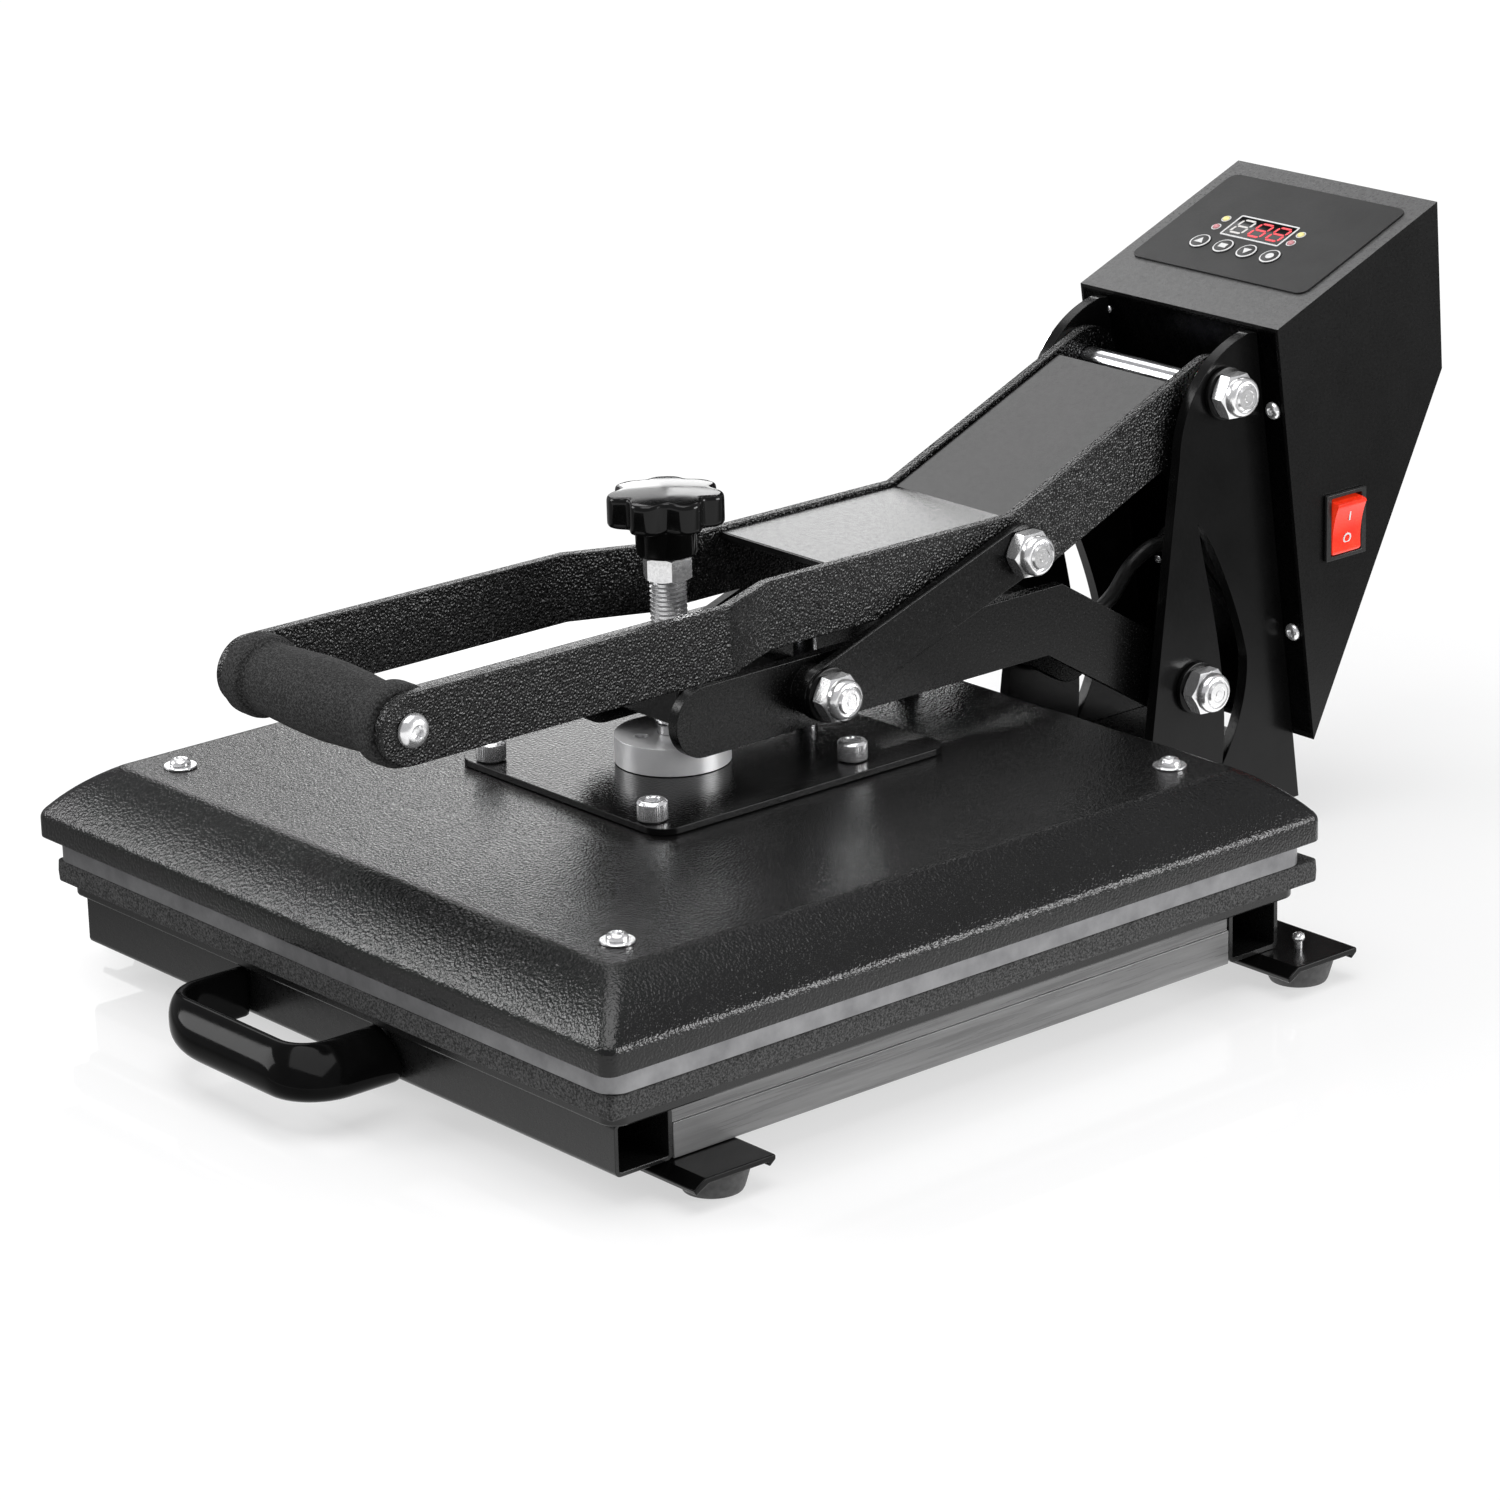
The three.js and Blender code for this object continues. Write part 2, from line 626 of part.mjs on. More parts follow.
function buildSwitch(box) {
  const face = BOX_HALF_X + GAP;
  const flange = block(face, face + 2, BEZEL_Y - 12.8, BEZEL_Y + 12.8, BEZEL_Z - 15.5, BEZEL_Z + 15.5);
  const body = block(face - 14, face + 1, BEZEL_Y - 11, BEZEL_Y + 11, BEZEL_Z - 14.5, BEZEL_Z + 14.5);
  const well = block(face - 11, face + 5, BEZEL_Y - 9.7, BEZEL_Y + 9.7, BEZEL_Z - 13.5, BEZEL_Z + 13.5);
  add(box, "rocker_bezel", cut(join(flange, body), well), blackPlastic);
  // The rocker turns about an axis along Y, at the origin of its own group.
  const profile = polygon([
    [-3.6, -8],
    [-3.6, 8],
    [1.5, 12.3],
    [6, 12.3],
    [4.6, 0],
    [6, -12.3],
    [1.5, -12.3],
  ]);
  const rocker = slab(profile, -9.3, 9.3).rotateX(Math.PI / 2);
  const mesh = add(box, "rocker", cut(rocker), redPlastic);
  mesh.position.set(face - 1.8, BEZEL_Y, BEZEL_Z);
  mesh.rotation.y = ROCKER_TILT;
}

function buildInlet(slant) {
  const flange = slab(roundedRect(-25, 25, -12.5, 12.5, 5), GAP, GAP + 2.5, 4);
  const body = block(-13.8, 13.8, -10.3, 10.3, -19, 1);
  const socket = slab(roundedRect(-12.2, 12.2, -8.2, 8.2, 3), -15, 5, 3);
  const pins = [-7, 0, 7].map((x) => block(x - 1, x + 1, -2.5, 2.5, -17, -2));
  const shell = cut(join(flange, body), socket);
  add(slant, "power_inlet", join(shell, ...pins), blackPlastic);
}

// ---- Heater cable ----
const CABLE_RADIUS = 3.5;
const CABLE_X = -12;
const CABLE_Z = 128;
const CABLE_ENTRY_Y = 145; // where it goes down through the platen's cover

function buildCable(base) {
  const start = boxFaceY(CABLE_Z) - 9;
  const points = [
    [start, CABLE_Z],
    [296, 127.5],
    [283, 121],
    [272, 110],
    [258, 103],
    [243, 104],
    [226, 112],
    [208, 122],
    [190, 128.5],
    [172, 130],
    [157, 124],
    [147.5, 112],
    [CABLE_ENTRY_Y, 98],
    [CABLE_ENTRY_Y, 90.5],
  ].map(([y, z]) => new THREE.Vector3(CABLE_X, y, z));
  const route = new THREE.CatmullRomCurve3(points);
  const section = new THREE.Shape();
  section.absarc(0, 0, CABLE_RADIUS, 0, 2 * Math.PI);
  const options = { steps: 44, bevelEnabled: false, curveSegments: 5, extrudePath: route };
  add(base, "heater_cable", new THREE.ExtrudeGeometry(section, options), rubber);
}

// The gland clamps the cable in the box's front panel: a flange, a round body and a nut behind.
function buildGland(box) {
  const face = boxFaceY(CABLE_Z);
  const profile = [
    [CABLE_RADIUS + 0.5, -8.4],
    [6.5, -8.4],
    [8, -6.5],
    [8, -1.5],
    [5.6, -1.5],
    [5.6, 6],
    [CABLE_RADIUS + 0.5, 6],
    [CABLE_RADIUS + 0.5, -8.4],
  ].map(([r, z]) => new THREE.Vector2(r, z));
  const gland = new THREE.LatheGeometry(profile, ROUND);
  add(box, "cable_gland", gland, zinc).position.set(CABLE_X, face, CABLE_Z);
}

// ---- Lower arm ----
function buildArm(arm) {
  const outline = roundBar([ARM_FRONT, ARM_KNEE, LOWER_PIVOT], ARM_HALF_DEPTH);
  const plate = sideSlab(outline, ARM_IN, ARM_OUT, 10);
  const pivotBoss = crossCylinder(12, LOWER_PIVOT, ARM_OUT - 1, UPRIGHT_IN - GAP);
  const linkBoss = crossCylinder(11, LINK_FOOT, ARM_OUT - 1, LINK_IN - GAP);
  const bores = [LOWER_PIVOT, LINK_FOOT].map((p) => crossCylinder(BORE_RADIUS, p, 20, 60));
  const whole = cut(join(plate, pivotBoss, linkBoss), ...bores);
  addPair(arm, "arm_plate", whole, wrinklePaint);
}

// The block between the arm plates: thick under the spindle's thread, then a low web that
// guides the pin behind it.
function buildPressureBlock(arm) {
  const profile = polygon([
    [-20, 124.5],
    [30, 124.5],
    [30, 111],
    [95, 111],
    [95, 117],
    [36, 117],
    [36, 141],
    [-20, 141],
  ]);
  const body = sideSlab(profile, -ARM_IN + GAP, ARM_IN - GAP);
  const thread = cylinder(SPINDLE_RADIUS + GAP, 100, 160).translate(0, SPINDLE_Y, 0);
  const guide = cylinder(5 + 2 * GAP, 100, 130).translate(0, GUIDE_PIN_Y, 0);
  add(arm, "pressure_block", cut(body, thread, guide), satinPaint);
}

// ---- Lever ----
// The side bars are bent twice in plan, so that the front of the lever is wider than its rear.
function buildLeverSides(lever) {
  const outline = new THREE.Shape();
  const quarter = Math.PI / 2;
  outline.absarc(GRIP_AXIS.x, GRIP_AXIS.y, LEVER_HALF_DEPTH, quarter, 3 * quarter);
  outline.lineTo(LEVER_LOW_KNEE.x, LEVER_LOW_KNEE.y);
  const end = [LEVER_SLOPE - quarter, LEVER_SLOPE + quarter];
  outline.absarc(LEVER_END.x, LEVER_END.y, LEVER_END_RADIUS, ...end);
  outline.lineTo(LEVER_TOP_KNEE.x, LEVER_TOP_KNEE.y);
  outline.holes.push(circle(UPPER_PIVOT.x, UPPER_PIVOT.y, BORE_RADIUS));
  const sideView = sideSlab(outline, LEVER_IN - 5, LEVER_FRONT_OUT + 5, 12);
  const half = (LEVER_OUT - LEVER_IN) / 2;
  const plan = strip(
    [
      new THREE.Vector2(LEVER_FRONT_OUT - half, -250),
      new THREE.Vector2(LEVER_FRONT_OUT - half, JOGGLE_FRONT_Y),
      new THREE.Vector2(LEVER_OUT - half, JOGGLE_REAR_Y),
      new THREE.Vector2(LEVER_OUT - half, 330),
    ],
    2 * half,
  );
  addPair(lever, "lever_bar", common(slab(plan, 100, 300), sideView), wrinklePaint);
}

function buildLeverTop(lever) {
  const front = 60;
  const level = 178;
  const rise = Math.tan(LEVER_SLOPE);
  const knee = 161.5;
  const rear = 262;
  const middle = [
    new THREE.Vector2(front, level),
    new THREE.Vector2(knee, level),
    new THREE.Vector2(rear, level + (rear - knee) * rise),
  ];
  const halfX = LEVER_IN - GAP;
  add(lever, "lever_top_plate", sideSlab(strip(middle, 3.5), -halfX, halfX), satinPaint);
}

function buildGrip(lever) {
  const inside = LEVER_FRONT_OUT - (LEVER_OUT - LEVER_IN) - GAP;
  const rodRadius = 8;
  add(lever, "grip_rod", crossCylinder(rodRadius, GRIP_AXIS, -inside, inside), zinc);
  const bore = rodRadius + GAP;
  const end = inside - GAP;
  const half = [
    [16.6, 0],
    [16.2, 14],
    [15.2, 28],
    [14.8, 36],
    [16.4, 40],
    [17.4, 43],
    [17.4, end - 1.5],
    [16, end],
    [bore, end],
  ];
  const other = half.slice(1).reverse().map(([r, x]) => [r, -x]);
  const profile = [...other, ...half, other[0]].map(([r, x]) => new THREE.Vector2(r, x));
  const sleeve = new THREE.LatheGeometry(profile, ROUND).rotateZ(-Math.PI / 2);
  add(lever, "foam_grip", sleeve, foam).position.set(0, GRIP_AXIS.x, GRIP_AXIS.y);
}

// ---- Links ----
// Each link has its upper pivot fixed in it: a nut on the right, a bolt head on the left.
function buildLinks(links) {
  const outline = roundBar([LINK_FOOT, LINK_TOP], LINK_HALF_DEPTH);
  outline.holes.push(circle(LINK_FOOT.x, LINK_FOOT.y, BORE_RADIUS));
  outline.holes.push(circle(LINK_TOP.x, LINK_TOP.y, BORE_RADIUS));
  addPair(links, "link", sideSlab(outline, LINK_IN, LINK_OUT, 10), wrinklePaint);
  const face = LINK_OUT + GAP;
  const nut = lockNut(0).translate(0, 0, face);
  const stud = cylinder(BOLT_RADIUS, LINK_IN, face + NUT_HEIGHT + BOLT_TAIL);
  const right = add(links, "link_pivot_right", join(nut, stud).applyMatrix4(SIDE_VIEW), zinc);
  right.position.set(0, LINK_TOP.x, LINK_TOP.y);
  const head = hexPrism(NUT_FLATS, -face - HEAD_HEIGHT, -face);
  const shank = cylinder(BOLT_RADIUS, -face - 1, -LINK_IN);
  const left = add(links, "link_pivot_left", join(head, shank).applyMatrix4(SIDE_VIEW), zinc);
  left.position.set(0, LINK_TOP.x, LINK_TOP.y);
}

// ---- Platen ----
function screwPlaces() {
  const places = { front_left: [-1, -1], front_right: [1, -1], rear_left: [-1, 1], rear_right: [1, 1] };
  return Object.entries(places).map(([name, [sx, sy]]) => [name, sx * SCREW_X, sy * SCREW_Y]);
}

function screwHoles(radius, start, end) {
  return screwPlaces().map(([, x, y]) => cylinder(radius, start, end, 16).translate(x, y, 0));
}

// The cover is a pressed tray, upside down: an upright skirt, slanted sides and a flat top.
function buildCover(platen) {
  const skirt = COVER_Z + SKIRT_HEIGHT;
  const outer = loft([
    squareRing(COVER_HALF, 9, COVER_Z),
    squareRing(COVER_HALF, 9, skirt),
    squareRing(COVER_TOP_HALF + 4, 10, COVER_TOP - 1.6),
    squareRing(COVER_TOP_HALF, 10, COVER_TOP),
  ]);
  const inner = loft([
    squareRing(COVER_HALF - COVER_WALL, 7, COVER_Z - 5),
    squareRing(COVER_HALF - COVER_WALL, 7, skirt - 0.8),
    squareRing(COVER_TOP_HALF + 2, 8, COVER_TOP - COVER_WALL - 1),
    squareRing(COVER_TOP_HALF - 1, 8, COVER_TOP - COVER_WALL),
  ]);
  const entry = cylinder(CABLE_RADIUS + 1.2, COVER_TOP - 8, COVER_TOP + 8, 16);
  entry.translate(CABLE_X, CABLE_ENTRY_Y, 0);
  const holes = screwHoles(4.3, COVER_TOP - 8, COVER_TOP + 8);
  add(platen, "platen_cover", cut(outer, inner, entry, ...holes), glossPaint);
}

function buildPlaten(platen) {
  buildCover(platen);
  const plate = slab(roundedRect(-PLATE_HALF, PLATE_HALF, -PLATE_HALF, PLATE_HALF, 9), HEATER_Z, HEATER_Z + HEATER_THICK, 5);
  const blind = screwHoles(4.3, HEATER_Z + 2, COVER_Z + 5);
  add(platen, "heating_plate", cut(plate, ...blind), castAluminium);
  const blanket = block(-156, 156, -156, 156, COVER_Z + GAP, COVER_Z + 22);
  add(platen, "insulation_blanket", cut(blanket, ...screwHoles(4.6, COVER_Z - 5, COVER_Z + 30)), wool);
  const mount = roundedRect(-MOUNT_HALF_X, MOUNT_HALF_X, MOUNT_FRONT_Y, MOUNT_REAR_Y, 10);
  screwPlaces().forEach(([, x, y]) => mount.holes.push(circle(x, y, 4.3)));
  add(platen, "mount_plate", slab(mount, MOUNT_Z, MOUNT_Z + MOUNT_THICK, 5), glossPaint);
}

function buildCapScrews(platen) {
  const head = cylinder(6.5, 0, 8.5);
  const shank = cylinder(4, HEATER_Z + 4 - BOSS_Z, 1, 16);
  const socket = hexPrism(6, 4.5, 10);
  const screw = cut(join(head, shank), socket);
  screwPlaces().forEach(([name, x, y]) => {
    add(platen, `cap_screw_${name}`, screw, zinc).position.set(x, y, BOSS_Z);
  });
}

// The boss holds the foot of the spindle; two holes in its top take a pin spanner.
function buildBoss(platen) {
  const body = cylinder(BOSS_RADIUS, 0, BOSS_HEIGHT, 40);
  const bore = cylinder(SPINDLE_NECK_RADIUS + GAP, -1, BOSS_HEIGHT + 1);
  const holes = [-1, 1].map((side) =>
    cylinder(3, BOSS_HEIGHT - 6, BOSS_HEIGHT + 1, 16).translate(side * 4.6, side * 13.6, 0),
  );
  const boss = add(platen, "spindle_boss", cut(body, bore, ...holes), zinc);
  boss.position.set(0, SPINDLE_Y, BOSS_Z);
  const pin = add(platen, "guide_pin", cylinder(5, 0, 45), zinc);
  pin.position.set(0, GUIDE_PIN_Y, BOSS_Z);
}

// ---- Spindle and knob ----
function buildSpindle(spindle) {
  const profile = [
    [0, BOSS_Z + 0.4],
    [SPINDLE_NECK_RADIUS, BOSS_Z + 0.4],
    [SPINDLE_NECK_RADIUS, SPINDLE_NECK_Z - 1],
    [SPINDLE_RADIUS, SPINDLE_NECK_Z + 1],
    [SPINDLE_RADIUS, HEX_Z + 1],
    [5, HEX_Z + 1],
    [5, KNOB_Z + 14],
    [0, KNOB_Z + 14],
  ].map(([r, z]) => new THREE.Vector2(r, z));
  const rod = new THREE.LatheGeometry(profile, ROUND).rotateX(Math.PI / 2);
  const hex = hexPrism(HEX_FLATS, HEX_Z, KNOB_Z - GAP);
  add(spindle, "spindle", join(rod, hex), zinc).position.y = SPINDLE_Y;
}

function buildKnob(spindle) {
  const outline = new THREE.Shape();
  const stepsPerLobe = 6;
  const count = KNOB_LOBES * stepsPerLobe;
  for (let i = 0; i < count; i++) {
    const angle = (2 * Math.PI * i) / count;
    const radius = KNOB_RADIUS + KNOB_LOBE_DEPTH * Math.cos(KNOB_LOBES * (angle - KNOB_TURN));
    const point = [radius * Math.cos(angle), radius * Math.sin(angle)];
    if (i) outline.lineTo(...point);
    else outline.moveTo(...point);
  }
  const bevel = 1.5;
  const star = new THREE.ExtrudeGeometry(outline, {
    depth: KNOB_STAR_HEIGHT - 2 * bevel,
    bevelThickness: bevel,
    bevelSize: bevel,
    bevelSegments: 2,
  });
  star.translate(0, 0, KNOB_HUB_HEIGHT + bevel);
  const hub = cylinder(13.3, 0, KNOB_HUB_HEIGHT + 1);
  const bore = cylinder(5 + GAP, -1, 15);
  add(spindle, "star_knob", cut(join(star, hub), bore), blackPlastic).position.set(0, SPINDLE_Y, KNOB_Z);
}

// ---- Whole press ----
function buildBase() {
  const base = new THREE.Group();
  buildCrossTubes(base);
  buildSideRails(base);
  buildRearChannel(base);
  buildFootBars(base);
  buildFeet(base);
  buildBed(base);
  buildCarryHandle(base);
  buildUprights(base);
  buildUprightBolts(base);
  buildCable(base);
  press.add(base);
}

function buildBox() {
  const box = new THREE.Group();
  const lid = lidGroup(box);
  const slant = slantGroup(box);
  box.updateMatrixWorld(true);
  buildBoxCover(box, lid, slant);
  buildBoxPanel(box);
  buildControls(box, lid);
  buildSwitch(box);
  buildInlet(slant);
  buildGland(box);
  press.add(box);
}

function buildMoving() {
  const arm = new THREE.Group();
  buildArm(arm);
  buildPressureBlock(arm);
  add(arm, "link_bolt", crossBolt(LINK_FOOT, LINK_OUT), zinc);
  add(arm, "link_nut", crossNut(LINK_FOOT, LINK_OUT), zinc);
  const lever = new THREE.Group();
  buildLeverSides(lever);
  buildLeverTop(lever);
  buildGrip(lever);
  const links = new THREE.Group();
  buildLinks(links);
  const platen = new THREE.Group();
  buildPlaten(platen);
  buildCapScrews(platen);
  buildBoss(platen);
  const spindle = new THREE.Group();
  buildSpindle(spindle);
  buildKnob(spindle);
  press.add(arm, lever, links, platen, spindle);
}

buildBase();
buildBox();
buildMoving();

const heatPress = new THREE.Group();
heatPress.add(press);
press.position.y = -FOOTPRINT_MIDDLE_Y;

export default heatPress;
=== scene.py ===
# The looks of a clamshell heat press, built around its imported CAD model.
# Pieces are drawn in millimetres, with y measured from the middle of the heating plate and z
# from the floor. frame_point() turns such a point into the frame's metres.
import math

import bmesh
import bpy
from mathutils import Matrix, Vector, noise


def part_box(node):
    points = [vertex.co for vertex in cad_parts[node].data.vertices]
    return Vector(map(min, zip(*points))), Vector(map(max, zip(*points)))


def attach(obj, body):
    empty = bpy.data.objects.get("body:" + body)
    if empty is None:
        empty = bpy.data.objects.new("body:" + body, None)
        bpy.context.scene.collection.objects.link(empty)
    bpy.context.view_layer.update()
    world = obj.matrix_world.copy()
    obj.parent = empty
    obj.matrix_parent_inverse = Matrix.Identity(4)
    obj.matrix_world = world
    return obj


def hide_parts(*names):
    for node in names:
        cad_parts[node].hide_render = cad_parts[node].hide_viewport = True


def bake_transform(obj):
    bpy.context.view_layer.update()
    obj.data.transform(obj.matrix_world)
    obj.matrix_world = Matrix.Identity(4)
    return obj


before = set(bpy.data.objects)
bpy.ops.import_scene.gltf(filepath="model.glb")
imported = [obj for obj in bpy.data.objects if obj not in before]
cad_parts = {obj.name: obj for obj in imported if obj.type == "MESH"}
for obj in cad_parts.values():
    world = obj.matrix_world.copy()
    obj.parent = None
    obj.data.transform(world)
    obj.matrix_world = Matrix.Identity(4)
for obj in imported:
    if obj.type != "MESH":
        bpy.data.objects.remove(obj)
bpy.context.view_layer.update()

MM = 0.001
_plate_low, _plate_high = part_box("heating_plate")
PRESS_Y = (_plate_low.y + _plate_high.y) / 2
GAP = 0.3


def frame_point(p):
    return Vector((p[0] * MM, p[1] * MM + PRESS_Y, p[2] * MM))


def extent(node):
    """A CAD node's box as x0, x1, y0, y1, z0, z1 in the press's millimetres."""
    low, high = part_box(node)
    y0, y1 = (low.y - PRESS_Y) / MM, (high.y - PRESS_Y) / MM
    return low.x / MM, high.x / MM, y0, y1, low.z / MM, high.z / MM


def middle(node):
    x0, x1, y0, y1, z0, z1 = extent(node)
    return Vector(((x0 + x1) / 2, (y0 + y1) / 2, (z0 + z1) / 2))


# ---- Camera ----
CAMERA_AZIMUTH = math.radians(49.946)
CAMERA_PITCH = math.radians(18.572)
CAMERA_ROLL = math.radians(-1.455)
CAMERA_DISTANCE = 2313.5
CAMERA_AIM = Vector((0, 0, 99))
CAMERA_PAN = (33.45, 2.71)
CAMERA_LENS = 130.64
SENSOR = 36


def make_camera():
    a, pitch, roll = CAMERA_AZIMUTH, CAMERA_PITCH, CAMERA_ROLL
    forward = Vector((-math.sin(a) * math.cos(pitch), math.cos(a) * math.cos(pitch), -math.sin(pitch)))
    right = Vector((math.cos(a), math.sin(a), 0))
    up = right.cross(forward)
    aim = CAMERA_AIM + right * CAMERA_PAN[0] + up * CAMERA_PAN[1]
    place = aim - forward * CAMERA_DISTANCE
    x_axis = right * math.cos(roll) + up * math.sin(roll)
    y_axis = up * math.cos(roll) - right * math.sin(roll)
    data = bpy.data.cameras.new("camera")
    data.sensor_width = SENSOR
    data.lens = CAMERA_LENS
    data.clip_end = 50
    camera = bpy.data.objects.new("camera", data)
    bpy.context.scene.collection.objects.link(camera)
    matrix = Matrix((x_axis, y_axis, -forward)).transposed().to_4x4()
    matrix.translation = frame_point(place)
    camera.matrix_world = matrix
    bpy.context.scene.camera = camera


make_camera()


# ---- Materials ----
MOTTLE = (0.3, 0.7)  # the part of a noise's range that most of its values fall in


class Nodes:
    """A short way to write a material's node tree."""

    def __init__(self, name, specular=0.5):
        self.material = bpy.data.materials.new(name)
        self.material.use_nodes = True
        self.tree = self.material.node_tree
        self.shader = self.tree.nodes["Principled BSDF"]
        self.set(Specular_IOR_Level=specular)
        self.place = self.add("ShaderNodeTexCoord").outputs["Object"]
        self.normal = None

    def add(self, kind, **settings):
        node = self.tree.nodes.new(kind)
        for key, value in settings.items():
            setattr(node, key, value)
        return node

    def link(self, source, target):
        self.tree.links.new(source, target)

    def set(self, **values):
        for name, value in values.items():
            self.shader.inputs[name.replace("_", " ")].default_value = value
        return self

    def noise(self, scale, detail=3.0, roughness=0.55, stretch=None):
        node = self.add("ShaderNodeTexNoise")
        node.inputs["Scale"].default_value = scale
        node.inputs["Detail"].default_value = detail
        node.inputs["Roughness"].default_value = roughness
        self.link(self.stretched(stretch) if stretch else self.place, node.inputs["Vector"])
        return node.outputs["Fac"]

    def stretched(self, scale):
        node = self.add("ShaderNodeMapping")
        node.inputs["Scale"].default_value = scale
        self.link(self.place, node.inputs["Vector"])
        return node.outputs["Vector"]

    def cells(self, scale, smoothness):
        node = self.add("ShaderNodeTexVoronoi", feature="SMOOTH_F1")
        node.inputs["Scale"].default_value = scale
        node.inputs["Smoothness"].default_value = smoothness
        self.link(self.place, node.inputs["Vector"])
        return node.outputs["Distance"]

    def ramp(self, value, low, high, first, last):
        """Maps value from low..high to the colours or numbers first..last."""
        node = self.add("ShaderNodeValToRGB")
        node.color_ramp.elements[0].position = low
        node.color_ramp.elements[1].position = high
        for element, color in zip(node.color_ramp.elements, (first, last)):
            element.color = (*color, 1) if hasattr(color, "__len__") else (color, color, color, 1)
        self.link(value, node.inputs["Fac"])
        return node.outputs["Color"]

    def math(self, operation, a, b):
        node = self.add("ShaderNodeMath", operation=operation)
        for socket, value in zip(node.inputs, (a, b)):
            if isinstance(value, (int, float)):
                socket.default_value = value
            else:
                self.link(value, socket)
        return node.outputs["Value"]

    def mix(self, factor, first, second):
        """Blends two colours. The node keeps its colour sockets at these places."""
        node = self.add("ShaderNodeMix", data_type="RGBA")
        for socket, value in zip((0, 6, 7), (factor, first, second)):
            self.link(value, node.inputs[socket])
        return node.outputs[2]

    def bump(self, height, strength, distance):
        """Adds relief; distance is the height of the relief in millimetres."""
        node = self.add("ShaderNodeBump")
        node.inputs["Strength"].default_value = strength
        node.inputs["Distance"].default_value = distance * MM
        self.link(height, node.inputs["Height"])
        if self.normal:
            self.link(self.normal, node.inputs["Normal"])
        self.normal = node.outputs["Normal"]
        self.link(self.normal, self.shader.inputs["Normal"])
        return self

    def color(self, socket):
        self.link(socket, self.shader.inputs["Base Color"])
        return self

    def roughness(self, socket):
        self.link(socket, self.shader.inputs["Roughness"])
        return self

    def tint(self, scale, detail, first, last):
        """Mottles the base colour from first to last."""
        return self.color(self.ramp(self.noise(scale, detail), *MOTTLE, first, last))

    def matte(self, scale, detail, first, last):
        """Varies the roughness from first to last."""
        return self.roughness(self.ramp(self.noise(scale, detail), *MOTTLE, first, last))

    def grain(self, scale, detail, strength, height):
        """Adds an uneven relief, height in millimetres."""
        return self.bump(self.noise(scale, detail), strength, height)


def coarse_powder_coat():
    """Black powder coat with a coarse pebble grain; the crests of its grain are coloured light grey as
    painted glints.
    """
    n = Nodes("coarse_powder_coat", 0.32)
    crests_and_glints = n.noise(1050, 1)
    # painted highlight: the grain's crests are coloured light grey to stand in for glints
    n.color(n.ramp(crests_and_glints, 0.64, 0.74, 0.0022, 0.115))
    n.roughness(n.ramp(n.noise(900, 2), 0.35, 0.65, 0.18, 0.30))
    n.bump(n.cells(900, 0.5), 0.9, 0.42)
    return n.bump(crests_and_glints, 0.8, 0.20).material


def fine_powder_coat():
    """The same black coat laid on thinner: a fine grain, with a few specks coloured lighter as painted
    glints.
    """
    n = Nodes("fine_powder_coat", 0.24)
    # painted highlight: sparse specks are coloured lighter to stand in for glints
    n.color(n.ramp(n.noise(1100, 1), 0.62, 0.76, 0.0026, 0.030))
    n.roughness(n.ramp(n.noise(900, 2), 0.35, 0.65, 0.22, 0.32))
    n.grain(1000, 1, 0.6, 0.10)
    return n.grain(2300, 1, 0.4, 0.03).material


def satin_powder_coat():
    """Black powder coat with a fine leather grain."""
    n = Nodes("satin_powder_coat", 0.16).tint(40, 4, 0.0022, 0.0046).matte(700, 3, 0.19, 0.27)
    n.grain(900, 2, 0.45, 0.07)
    return n.grain(2200, 2, 0.3, 0.03).material


def lid_powder_coat():
    """The control box's coat: dull, with a painted lighter grey where it faces up that stands in for the
    light falling on the lid.
    """
    n = Nodes("lid_powder_coat", 0.20)
    coat = n.ramp(n.noise(40, 4), *MOTTLE, 0.0025, 0.0050)
    # painted light: faces that turn up are coloured a lighter grey to stand in for the light that falls on
    # them
    painted_top_light = n.ramp(n.noise(500, 4), *MOTTLE, 0.075, 0.110)
    upward = n.add("ShaderNodeSeparateXYZ")
    n.link(n.add("ShaderNodeNewGeometry").outputs["Normal"], upward.inputs["Vector"])
    n.color(n.mix(n.ramp(upward.outputs["Z"], 0.70, 0.88, 0.0, 1.0), coat, painted_top_light))
    n.matte(700, 3, 0.25, 0.33)
    n.grain(900, 2, 0.6, 0.08)
    return n.grain(2200, 2, 0.3, 0.03).material


def tube_powder_coat():
    """The base's grey-black coat, smooth and a little duller than the rest."""
    n = Nodes("tube_powder_coat", 0.42).tint(30, 4, 0.0045, 0.0080).matte(500, 3, 0.24, 0.34)
    n.grain(1000, 3, 0.4, 0.08)
    return n.grain(260, 2, 0.3, 0.15).material


def rolled_steel():
    """The rails' thin grey coat, which shows the rolling lines of the steel below. Its grey is partly the
    coat's own and partly painted reflection of the nearby floor.
    """
    n = Nodes("rolled_steel", 0.6)
    lines = n.noise(260, 5, 0.65, stretch=(1, 0.035, 1))
    # partly painted reflection: the base grey is lighter than the other coats to stand in for the floor's
    # reflection
    n.color(n.ramp(lines, 0.34, 0.70, 0.070, 0.160))
    n.roughness(n.ramp(lines, 0.35, 0.7, 0.24, 0.36))
    n.bump(lines, 0.4, 0.06)
    return n.grain(1300, 2, 0.3, 0.05).material


def orange_peel_enamel():
    """The cover's semi-gloss enamel, whose fine orange peel breaks up its reflections."""
    n = Nodes("orange_peel_enamel", 0.40).tint(25, 4, 0.0030, 0.0050).matte(250, 2, 0.19, 0.23)
    n.grain(820, 1, 1.0, 0.38)
    return n.grain(1900, 1, 0.7, 0.08).material


